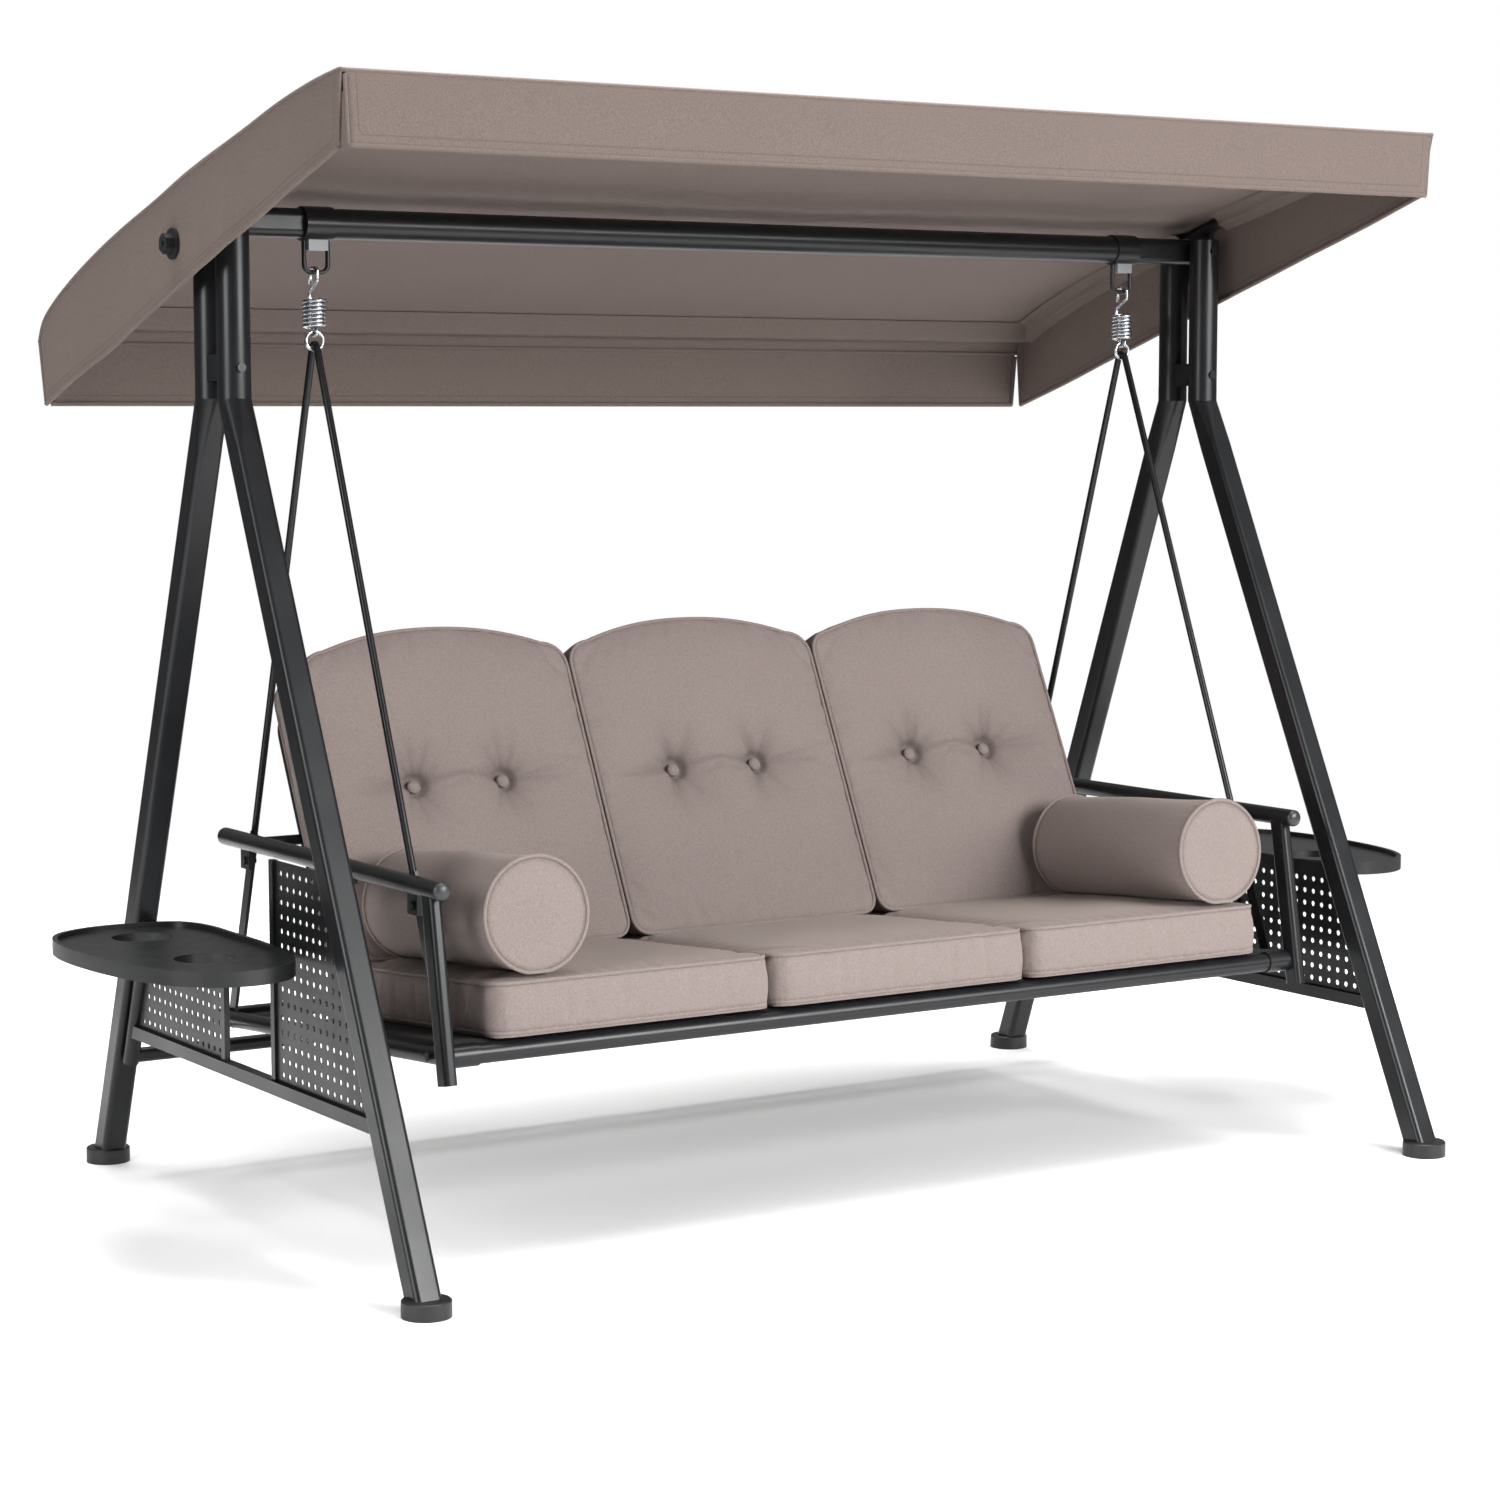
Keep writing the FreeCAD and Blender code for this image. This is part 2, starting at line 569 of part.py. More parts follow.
def build_side_frames(legs):
    """Rails, posts, perforated panels and the rear cross tube of the stand."""
    lean = math.atan2(T.foot_rear - T.upright_offset, T.bend_level)
    rail_low, rail_top = T.rail_level - T.rail_tall / 2, T.rail_level + T.rail_tall / 2
    tray_low = T.tray_level - T.tray_tall - T.bracket_tall
    for name, side in SIDES:
        x = side * T.leg_plane
        post_high = tray_low - 4.0
        rear_post = bar(name + "_rear_post", (x, rear_post_line(T.rear_post_low), T.rear_post_low),
                        (x, rear_post_line(post_high), post_high), expr("rear_post_dia", 0.5))
        rear_bore = bar(name + "_rear_post_bore",
                        (x, rear_post_line(T.rear_post_low), T.rear_post_low),
                        (x, rear_post_line(post_high), post_high),
                        T.rear_post_dia / 2 - T.tube_wall)
        rail = box(name + "_rail_bar", expr("rail_thick"), T.foot_front + T.foot_rear,
                   expr("rail_tall"), place(x, -60.0, rail_low))
        front_y, rear_y = leg_line(-1, T.rail_level), rear_post_line(T.rail_level)
        ends = [box(name + "_rail_front_end", 100.0, 400.0, 100.0,
                    place(x, front_y - 200.0, rail_low - 30.0)),
                box(name + "_rail_rear_end", 100.0, 400.0, 100.0,
                    place(x, rear_y + 200.0, rail_low - 30.0))]
        node(cut(name + "_lower_rail", rail, [legs[name + "_front_leg"], rear_post] + ends))
        panel_top = T.left_panel_top if side < 0 else T.right_panel_top
        posts = [cut(name + "_rear_post_tube", rear_post, [rear_bore])]
        for tag, y, top in (("front", -T.mid_front_post, panel_top),
                            ("rear", T.mid_rear_post, tray_low + T.bracket_tall)):
            posts.append(box("%s_mid_%s_post" % (name, tag), expr("post_thick"),
                             expr("post_deep"), top - rail_top, place(x, y, rail_top)))
        span = T.mid_front_post + T.mid_rear_post - T.post_deep
        posts.append(box(name + "_tray_rail", expr("post_thick"), span, expr("tray_rail_tall"),
                         place(x, (T.mid_rear_post - T.mid_front_post) / 2,
                               tray_low - T.tray_rail_tall)))
        node(group(name + "_posts", posts))
        inner_front = -T.mid_front_post - T.post_deep / 2
        half_leg = T.leg_side / 2 / math.cos(math.atan2(T.foot_front - T.upright_offset,
                                                       T.bend_level))
        panel(name + "_front_panel", side,
              [(leg_line(-1, rail_top) + half_leg, rail_top), (inner_front, rail_top),
               (inner_front, panel_top), (leg_line(-1, panel_top) + half_leg, panel_top)], [])
        inner_rear = T.mid_rear_post + T.post_deep / 2
        half_post = T.rear_post_dia / 2 / math.cos(lean)
        high = tray_low - 6.0
        panel(name + "_rear_panel", side,
              [(inner_rear, rail_top), (rear_post_line(rail_top) - half_post, rail_top),
               (rear_post_line(high) - half_post, high), (inner_rear, high)], [])
    y = rear_post_line(T.cross_tube_level)
    reach = T.leg_plane
    run = bar("cross_solid", (-reach, y, T.cross_tube_level), (reach, y, T.cross_tube_level),
              expr("cross_tube_dia", 0.5))
    hollow = bar("cross_bore", (-reach, y, T.cross_tube_level), (reach, y, T.cross_tube_level),
                 T.cross_tube_dia / 2 - T.tube_wall)
    stops = [bar("cross_stop_%s" % name,
                 (s * T.leg_plane, rear_post_line(T.rear_post_low), T.rear_post_low),
                 (s * T.leg_plane, rear_post_line(300.0), 300.0), expr("rear_post_dia", 0.5))
             for name, s in SIDES]
    ends = [box("cross_end_%s" % name, 40.0, 100.0, 100.0,
                place(s * (T.leg_plane + 20.0), y, T.cross_tube_level - 50.0))
            for name, s in SIDES]
    node(cut("rear_cross_tube", run, [hollow] + stops + ends))


def closed_line(points, inset):
    """Points of a closed outline moved inwards by a distance."""
    spline = Part.BSplineCurve()
    spline.interpolate([V(p[0], p[1], 0) for p in points], PeriodicFlag=True)
    moved = []
    count = 40
    for k in range(count):
        u = spline.FirstParameter + (spline.LastParameter - spline.FirstParameter) * k / count
        at = spline.value(u)
        way = spline.tangent(u)[0]
        # the outline runs anticlockwise, so its inside is to the left of the way it runs
        moved.append((at.x - way.y * inset, at.y + way.x * inset))
    return moved


def build_trays():
    """Two side trays with cup holes, and the brackets that carry them."""
    floor_low = T.tray_level - T.tray_recess - T.tray_floor
    low = T.tray_level - T.tray_tall
    brackets = []
    for name, side in SIDES:
        def slab(tag, inset, bottom, tall):
            line = [(side * (T.leg_plane + px), py) for px, py in closed_line(TRAY_LINE, inset)]
            ring = sketch("%s_tray_%s_line" % (name, tag), [curve(line, closed=True)],
                          place(0, 0, bottom))
            return extrude("%s_tray_%s" % (name, tag), ring, tall)

        outer = slab("outer", 0.0, low, expr("tray_tall"))
        top = slab("top", T.tray_rim, T.tray_level - T.tray_recess, T.tray_recess + 1.0)
        under = slab("under", T.tray_skirt, low - 1.0, floor_low - low + 1.0)
        cups = [(side * T.cup_line, T.cup_rear), (side * T.cup_line, -T.cup_front)]
        rings = [cylinder("%s_cup_ring_%d" % (name, k), expr("cup_dia", 0.5, T.cup_wall),
                          T.tray_tall + 2.0, place(cx, cy, low - 1.0))
                 for k, (cx, cy) in enumerate(cups)]
        ribs = [box("%s_tray_rib_%d" % (name, k), 400.0, expr("bracket_wide"), T.tray_tall,
                    place(side * T.cup_line, y, low - 1.0))
                for k, y in enumerate((-T.bracket_rear, -T.bracket_front))]
        hollow = cut(name + "_tray_hollow", under, rings + ribs)
        bores = [cylinder("%s_cup_bore_%d" % (name, k), expr("cup_dia", 0.5),
                          T.tray_tall + 4.0, place(cx, cy, low - 2.0))
                 for k, (cx, cy) in enumerate(cups)]
        node(cut(name + "_tray", outer, [top, hollow] + bores))
        start = T.leg_plane - T.post_thick / 2
        for tag, y in (("rear", -T.bracket_rear), ("front", -T.bracket_front)):
            reach = T.bracket_reach - start
            brackets.append(box("%s_%s_bracket" % (name, tag), reach, expr("bracket_wide"),
                                expr("bracket_tall"),
                                place(side * (start + reach / 2), y, low - T.bracket_tall)))
    node(group("tray_brackets", brackets))


# ---------------------------------------------------------------- springs, rings and hangers
def hook_path(label, points, corner, side):
    """A path in the plane of the swing, with its corners rounded."""
    return sketch(label, rounded_path(points, corner), place(side * T.hook_line, 0, 0, YZ))


def spring(name, side):
    """One spring: open top hook, close coil and the short hook that takes the ring."""
    wire = T.spring_wire / 2
    # the hooks are drawn a hair thinner than the coil so that they join it cleanly
    hook_radius = expr("spring_wire", 0.5, -0.05)
    reach = 13.0
    crown = T.staple_low + T.staple_wire / 2 + T.running_gap + wire
    top_line = [(reach, crown - 26.0), (reach, crown), (-reach, crown), (-reach, crown - 21.0),
                (T.coil_radius, T.coil_top + 11.0), (T.coil_radius, T.coil_top - 1.0)]
    top_path = hook_path(name + "_top_path", top_line, 6.0, side)
    top = sweep(name + "_top_hook", top_path, top_line[0], (0, 1), hook_radius)
    low = T.ring_level + T.ring_radius - wire - T.running_gap - wire
    turn = 8.0
    low_line = [(-turn, T.coil_low + 1.0), (-turn, low), (turn, low), (turn, low + 13.0),
                (T.coil_radius, T.coil_low)]
    low_path = hook_path(name + "_low_path", low_line, 4.0, side)
    foot = sweep(name + "_low_hook", low_path, low_line[0], (0, -1), hook_radius)
    helix = add("Part::Helix", name + "_helix")
    helix.setExpression("Radius", expr("coil_radius"))
    helix.setExpression("Height", "(Sizes.coil_top - Sizes.coil_low) * 1 mm")
    helix.setExpression("Pitch", "(Sizes.coil_top - Sizes.coil_low) / Sizes.coil_turns * 1 mm")
    helix.Placement = place(side * T.hook_line, 0, T.coil_low, Rotation(V(0, 0, 1), 84))
    doc.recompute([helix])
    rise = helix.Pitch.Value / (2 * math.pi * T.coil_radius)
    disc = add("Part::Circle", name + "_coil_disc")
    disc.setExpression("Radius", expr("spring_wire", 0.5))
    disc.Placement = helix.Placement.multiply(
        Placement(V(T.coil_radius, 0, 0), Rotation(V(0, 0, 1), V(0, 1, rise))))
    doc.recompute([disc])
    coil = add("Part::Sweep", name + "_coil")
    coil.Sections = [disc]
    coil.Spine = (helix, ["Edge%d" % (n + 1) for n in range(len(helix.Shape.Edges))])
    coil.Solid = True
    coil.Frenet = True
    return fuse(name + "_spring", [coil, top, foot])


def build_suspension():
    """Springs and the rings that hang from them."""
    springs, rings = [], []
    for name, side in SIDES:
        springs.append(spring(name, side))
        ring = add("Part::Torus", name + "_ring")
        ring.setExpression("Radius1", expr("ring_radius"))
        ring.setExpression("Radius2", expr("spring_wire", 0.5))
        ring.Placement = place(side * T.hook_line, 0, T.ring_level, Rotation(V(1, 0, 0), 90))
        rings.append(ring)
    node(group("springs", springs))
    node(group("link_rings", rings))


def rod_start():
    """Height of the axis the hangers rock about, and the bend radius of their crown."""
    axis = T.ring_level - T.ring_radius
    return axis, T.spring_wire / 2 + T.running_gap + T.rod_dia / 2


def rod_slope(way):
    """Lean of a hanger rod that leaves the crown's bend and reaches its lug bolt."""
    axis, bend = rod_start()
    out = T.front_rod_reach if way < 0 else T.rear_rod_reach
    drop = axis - T.lug_bolt_level
    return math.acos(bend / math.hypot(out, drop)) - math.atan2(drop, out)


def rod_line(way, level):
    """Front-to-rear place of a hanger rod at a height."""
    axis, bend = rod_start()
    slope = rod_slope(way)
    y, z = bend * math.cos(slope), axis + bend * math.sin(slope)
    return way * (y + (z - level) * math.tan(slope))


def seat_point(depth, height):
    """Place of a point given along and above the tilted seat plane."""
    a = math.radians(T.seat_tilt)
    return (-T.front_rail_reach + depth * math.cos(a) + height * math.sin(a),
            T.front_rail_level - depth * math.sin(a) + height * math.cos(a))


def build_hangers():
    """One bent rod a side, with flat blades that bolt to the arm and the seat rail."""
    axis, bend = rod_start()
    front, rear = rod_slope(-1), rod_slope(1)
    for name, side in SIDES:
        begin = (rod_line(-1, T.blade_top - 12.0), T.blade_top - 12.0)
        end = (rod_line(1, T.blade_top - 12.0), T.blade_top - 12.0)
        enter = V(-bend * math.cos(front), axis + bend * math.sin(front), 0)
        leave = V(bend * math.cos(rear), axis + bend * math.sin(rear), 0)
        curves = [Part.LineSegment(V(begin[0], begin[1], 0), enter),
                  Part.Arc(enter, V(0, axis + bend, 0), leave),
                  Part.LineSegment(leave, V(end[0], end[1], 0))]
        path = sketch(name + "_hanger_path", curves, place(side * T.hook_line, 0, 0, YZ))
        rod = sweep(name + "_hanger_rod", path, begin, (math.sin(front), math.cos(front)),
                    expr("rod_dia", 0.5))
        blades, holes = [], []
        for tag, way in (("front", -1), ("rear", 1)):
            low = blade_foot(way)
            x = side * T.hook_line
            blades.append(flat_bar("%s_%s_blade" % (name, tag),
                                   (x, rod_line(way, T.blade_top), T.blade_top),
                                   (x, rod_line(way, low), low),
                                   expr("blade_wide"), expr("blade_thick")))
            holes += [bolt_hole("%s_%s_blade_hole_%d" % (name, tag, k), *spot)
                      for k, spot in enumerate(seat_bolt_spots(side, way))]
        node(cut(name + "_hanger", fuse(name + "_hanger_solid", [rod] + blades), holes))


def blade_foot(way):
    """Level of the bottom of a hanger blade, a little under the seat's side rail."""
    level = rail_cross_level(way)
    return level - T.side_rail_dia / 2 - 2.0


def rail_cross_level(way):
    """Height at which a hanger crosses the side rail."""
    a = math.tan(math.radians(T.seat_tilt))
    level = T.front_rail_level
    for _ in range(6):
        level = T.front_rail_level - (rod_line(way, level) + T.front_rail_reach) * a
    return level


def seat_bolt_spots(side, way):
    """Start, direction and grip of the two bolts that hold one blade."""
    lug_out = T.hook_line + T.blade_thick / 2 + T.lug_thick
    rail_out = T.side_rail_line + T.side_rail_dia / 2
    inner = T.hook_line - T.blade_thick / 2
    high, low = T.lug_bolt_level, rail_cross_level(way)
    return [((side * lug_out, rod_line(way, high), high), (-side, 0, 0), lug_out - inner),
            ((side * rail_out, rod_line(way, low), low), (-side, 0, 0), rail_out - inner)]


# ---------------------------------------------------------------- seat frame and arms
def build_seat_frame():
    """Front rail, the bent tube behind it, arms, arm posts and the webs under the cushions."""
    tilt = Rotation(V(1, 0, 0), -T.seat_tilt)
    level = T.front_rail_level
    inner_post = T.arm_line - T.post_flat / 2
    rail = bar("front_rail_solid", (-T.front_rail_half, -T.front_rail_reach, level),
               (T.front_rail_half, -T.front_rail_reach, level), expr("front_rail_dia", 0.5))
    sockets = [bar(name + "_socket", (s * (T.front_rail_half - 4.0), -T.front_rail_reach, level),
                   (s * inner_post, -T.front_rail_reach, level), expr("socket_dia", 0.5))
               for name, s in SIDES]
    bore = bar("front_rail_bore", (-inner_post, -T.front_rail_reach, level),
               (inner_post, -T.front_rail_reach, level), T.front_rail_dia / 2 - T.tube_wall)
    node(cut("seat_front_rail", fuse("front_rail_whole", [rail] + sockets), [bore]))

    posts, arms = {}, {}
    for name, side in SIDES:
        x = side * T.arm_line
        top = (x, -T.post_top, T.arm_level)
        foot = (x, -T.post_foot, T.post_foot_level)
        posts[name] = flat_bar(name + "_post_solid", foot, top, expr("post_wide"),
                               expr("post_flat"), T.post_corner)
        core = flat_bar(name + "_post_core", (x, -T.post_foot, T.post_foot_level), top,
                        T.post_wide - 2 * T.tube_wall, T.post_flat - 2 * T.tube_wall,
                        T.post_corner - T.tube_wall)
        arm_solid = bar(name + "_arm_solid", (x, -T.arm_front, T.arm_level),
                        (x, T.arm_rear, T.arm_level), expr("arm_dia", 0.5))
        arms[name] = arm_solid
        node(cut(name + "_arm_post", posts[name], [core, arm_solid]))
        lugs, holes = [], []
        for tag, way in (("front", -1), ("rear", 1)):
            spot = seat_bolt_spots(side, way)[0]
            y, z = spot[0][1], spot[0][2]
            middle = T.hook_line + (T.blade_thick + T.lug_thick) / 2
            lugs.append(box("%s_%s_lug" % (name, tag), expr("lug_thick"), expr("lug_wide"),
                            T.arm_level - z + 11.0, place(side * middle, y, z - 14.0)))
            holes.append(bolt_hole("%s_%s_lug_hole" % (name, tag), *spot))
        stop = box(name + "_arm_stop", 18.0, 34.0, 16.0,
                   place(x, -150.0, T.arm_level - T.arm_dia / 2 - 10.0))
        hollow = bar(name + "_arm_bore", (x, -T.arm_front - 1.0, T.arm_level),
                     (x, T.arm_rear + 1.0, T.arm_level), T.arm_dia / 2 - T.tube_wall)
        outer = fuse(name + "_arm_outer", [arm_solid, stop] + lugs)
        node(cut(name + "_armrest", outer, [hollow] + holes))
    caps = []
    for name, side in SIDES:
        for tag, y, way in (("front", -T.arm_front, -1), ("rear", T.arm_rear, 1)):
            ball = add("Part::Ellipsoid", "%s_%s_cap_dome" % (name, tag))
            ball.Radius1 = T.arm_cap
            ball.Radius2 = T.arm_dia / 2
            ball.Radius3 = T.arm_dia / 2
            ball.Angle1 = 0.0
            ball.Angle2 = 90.0
            ball.Placement = place(side * T.arm_line, y, T.arm_level, along((0, way, 0)))
            caps.append(ball)
    node(group("armrest_caps", caps))

    # the bent tube lies in the seat plane: its sketch runs right along X and back along the depth,
    # and both its ends begin inside the sockets
    origin = place(0, -T.front_rail_reach, level, tilt)
    line, start, depth = T.side_rail_line, -1.0, T.frame_depth
    path = sketch("seat_tube_path", rounded_path(
        [(-line, start), (-line, depth), (line, depth), (line, start)], T.frame_corner), origin)
    solid = sweep("seat_tube_solid", path, (-line, start), (0, 1), expr("side_rail_dia", 0.5))
    core = sweep("seat_tube_core", path, (-line, start), (0, 1),
                 expr("side_rail_dia", 0.5, -T.tube_wall))
    mid_y, mid_z = seat_point(T.mid_rail_depth, 0.0)
    mid = bar("seat_mid_rail_bar", (-line, mid_y, mid_z), (line, mid_y, mid_z),
              expr("side_rail_dia", 0.5, -1.0))
    holes = [bolt_hole("rail_hole_%s_%d" % (name, way), *seat_bolt_spots(s, way)[1])
             for name, s in SIDES for way in (-1, 1)]
    mid_cut = cut("seat_mid_rail", mid, [solid])
    shell = cut("seat_tube_shell", solid, [core, posts["left"], posts["right"]] + sockets + holes)
    node(fuse("seat_frame", [shell, mid_cut]))

    half = T.side_rail_line - 6.0
    web = box("seat_web_plate", 2 * half, T.web_depth, expr("web_thick"),
              origin.multiply(Placement(V(0, T.web_depth / 2 + 2.0, T.front_rail_dia / 2 - 2.0),
                                        Rotation())))
    rail_tool = bar("web_rail_tool", (-T.leg_plane, -T.front_rail_reach, level),
                    (T.leg_plane, -T.front_rail_reach, level), expr("front_rail_dia", 0.5))
    socket_tools = [bar(n + "_web_socket_tool",
                        (s * (T.front_rail_half - 16.0), -T.front_rail_reach, level),
                        (s * T.leg_plane, -T.front_rail_reach, level), expr("socket_dia", 0.5))
                    for n, s in SIDES]
    blade_tools = [box("web_blade_tool_%s_%d" % (n, way), 26.0, 40.0, 80.0,
                       place(s * (T.hook_line + 2.0), rod_line(way, rail_cross_level(way)),
                             rail_cross_level(way) - 30.0)) for n, s in SIDES for way in (-1, 1)]
    post_tools = [box("web_post_tool_%s" % n, 60.0, 80.0, 100.0,
                      place(s * (T.arm_line + 4.0), -T.front_rail_reach, level - 40.0))
                  for n, s in SIDES]
    node(cut("seat_web", web, [rail_tool, solid, mid] + socket_tools + blade_tools + post_tools))

    bolts = [bolt("seat_bolt_%s_%d_%d" % (name, way, k), *spot)
             for name, s in SIDES for way in (-1, 1)
             for k, spot in enumerate(seat_bolt_spots(s, way))]
    node(group("seat_bolts", bolts))
    return arms, mid


def back_point(high, deep):
    """Place of a point given up and behind the face of the back cushions."""
    a = math.radians(T.recline)
    base = seat_point(T.front_rail_reach - T.back_foot_reach, cushion_top())
    return (base[0] + high * math.sin(a) + deep * math.cos(a),
            base[1] + high * math.cos(a) - deep * math.sin(a))


def cushion_bottom():
    """Height of the underside of the seat cushions above the seat plane."""
    return T.front_rail_dia / 2 - 2.0 + T.web_thick + T.rest_gap


def cushion_top():
    """Height of the top of the seat cushions above the seat plane."""
    return cushion_bottom() + T.seat_cushion_tall


def build_back(arms, mid):
    """The bent tube behind the back cushions, its stays to the arms, and its web."""
    deep = T.back_cushion_thick + T.rest_gap + T.back_web_thick + T.back_tube_dia / 2
    plane = Rotation(V(1, 0, 0), 90.0 - T.recline)
    y0, z0 = back_point(0.0, deep)
    at = place(0, y0, z0, plane)
    line, top = T.back_post_line, T.back_frame_top
    path = sketch("back_path", rounded_path(
        [(-line, -88.0), (-line, top), (line, top), (line, -88.0)], T.back_bend), at)
    solid = sweep("back_solid", path, (-line, -88.0), (0, 1), expr("back_tube_dia", 0.5))
    core = sweep("back_core", path, (-line, -88.0), (0, 1),
                 expr("back_tube_dia", 0.5, -T.tube_wall))
    shell = cut("back_shell", solid, [core, mid])
    high = (T.arm_level - z0) / math.cos(math.radians(T.recline))
    stay_y = back_point(high, deep)[0]
    stays = []
    for name, side in SIDES:
        stay = bar(name + "_stay_bar", (side * line, stay_y, T.arm_level),
                   (side * T.arm_line, stay_y, T.arm_level), 9.0)
        stays.append(cut(name + "_stay", stay, [solid, arms[name]]))
    node(fuse("back_frame", [shell] + stays))
    web = box("back_web", 2 * (line + 6.0), T.back_frame_top - 20.0,
              expr("back_web_thick"),
              at.multiply(Placement(V(0, (T.back_frame_top) / 2 + 16.0,
                                      T.back_tube_dia / 2), Rotation())))
    node(web)


# ---------------------------------------------------------------- cushions
def build_cushions():
    """Seat and back cushions, their buttons, and the two bolsters."""
    tilt = Rotation(V(1, 0, 0), -T.seat_tilt)
    wide = T.cushion_wide - T.cushion_gap
    plane = Rotation(V(1, 0, 0), 90.0 - T.recline)
    buttons = []
    for k, name in enumerate(("left", "middle", "right")):
        x = (k - 1) * T.cushion_wide
        y, z = seat_point(-T.seat_overhang + T.seat_cushion_depth / 2, cushion_bottom())
        pad = rounded_box(name + "_seat_cushion", wide, expr("seat_cushion_depth"),
                          expr("seat_cushion_tall"), T.cushion_round, place(x, y, z, tilt), "all")
        node(pad)
        half = wide / 2
        y0, z0 = back_point(0.0, 0.0)
        low = -90.0
        side_high, mid_high = T.back_side_high, T.back_mid_high
        outline = [Part.LineSegment(V(-half, low, 0), V(half, low, 0)),
                   Part.LineSegment(V(half, low, 0), V(half, side_high, 0)),
                   Part.Arc(V(half, side_high, 0), V(0, mid_high, 0), V(-half, side_high, 0)),
                   Part.LineSegment(V(-half, side_high, 0), V(-half, low, 0))]
        # the face plane's normal points forwards, so the cushion is pulled the other way
        face = sketch(name + "_back_face", outline, place(x, y0, z0, plane))
        block = add("Part::Extrusion", name + "_back_block")
        block.Base = face
        block.DirMode = "Normal"
        block.LengthFwd = 0.0
        size(block, "LengthRev", expr("back_cushion_thick"))
        block.Solid = True
        doc.recompute()
        soft = add("Part::Fillet", name + "_back_soft")
        soft.Base = block
        soft.Edges = [(n, T.cushion_round, T.cushion_round)
                      for n, e in enumerate(block.Shape.Edges, start=1)
                      if e.CenterOfMass.z > z0 - 40.0]
        under = box(name + "_back_under", 700.0, 900.0, 300.0, Placement(
            place(0, *seat_point(T.seat_cushion_depth / 2, cushion_top() + T.rest_gap)).Base
            + V(x, 0, 0), tilt).multiply(Placement(V(0, 0, -300.0), Rotation())))
        node(cut(name + "_back_cushion", soft, [under]))
        for way in (-1, 1):
            by, bz = back_point(T.button_high, 0.0)
            buttons.append(cylinder("%s_button_%d" % (name, way), expr("button_dia", 0.5),
                                    expr("button_tall"),
                                    place(x + way * T.button_span / 2, by, bz, plane)))
    node(group("cushion_buttons", buttons))
    for name, side in SIDES:
        radius = T.bolster_dia / 2
        depth = T.front_rail_reach - T.bolster_front
        y, z = seat_point(depth, cushion_top() + T.rest_gap + radius)
        turn = tilt.multiply(Rotation(V(1, 0, 0), -90))
        roll = cylinder(name + "_bolster_roll", expr("bolster_dia", 0.5), expr("bolster_length"),
                        place(side * T.bolster_line, y, z, turn))
        doc.recompute([roll])
        soft = add("Part::Fillet", name + "_bolster")
        soft.Base = roll
        soft.Edges = [(n, T.bolster_round, T.bolster_round)
                      for n, e in enumerate(roll.Shape.Edges, start=1)
                      if e.Curve.TypeId == "Part::GeomCircle"]
        node(soft)


# ---------------------------------------------------------------- canopy
def roof_line():
    """The top of the roof, front to rear and in height."""
    return [(y, T.beam_level + z) for y, z in ROOF_LINE]


def roof_offset(distance):
    """The roof line moved down along its own normal."""
    spline = curve(roof_line())
    moved = []
    for k in range(25):
        u = spline.FirstParameter + (spline.LastParameter - spline.FirstParameter) * k / 24
        at, way = spline.value(u), spline.tangent(u)[0]
        moved.append((at.x + way.y * distance, at.y - way.x * distance))
    return moved


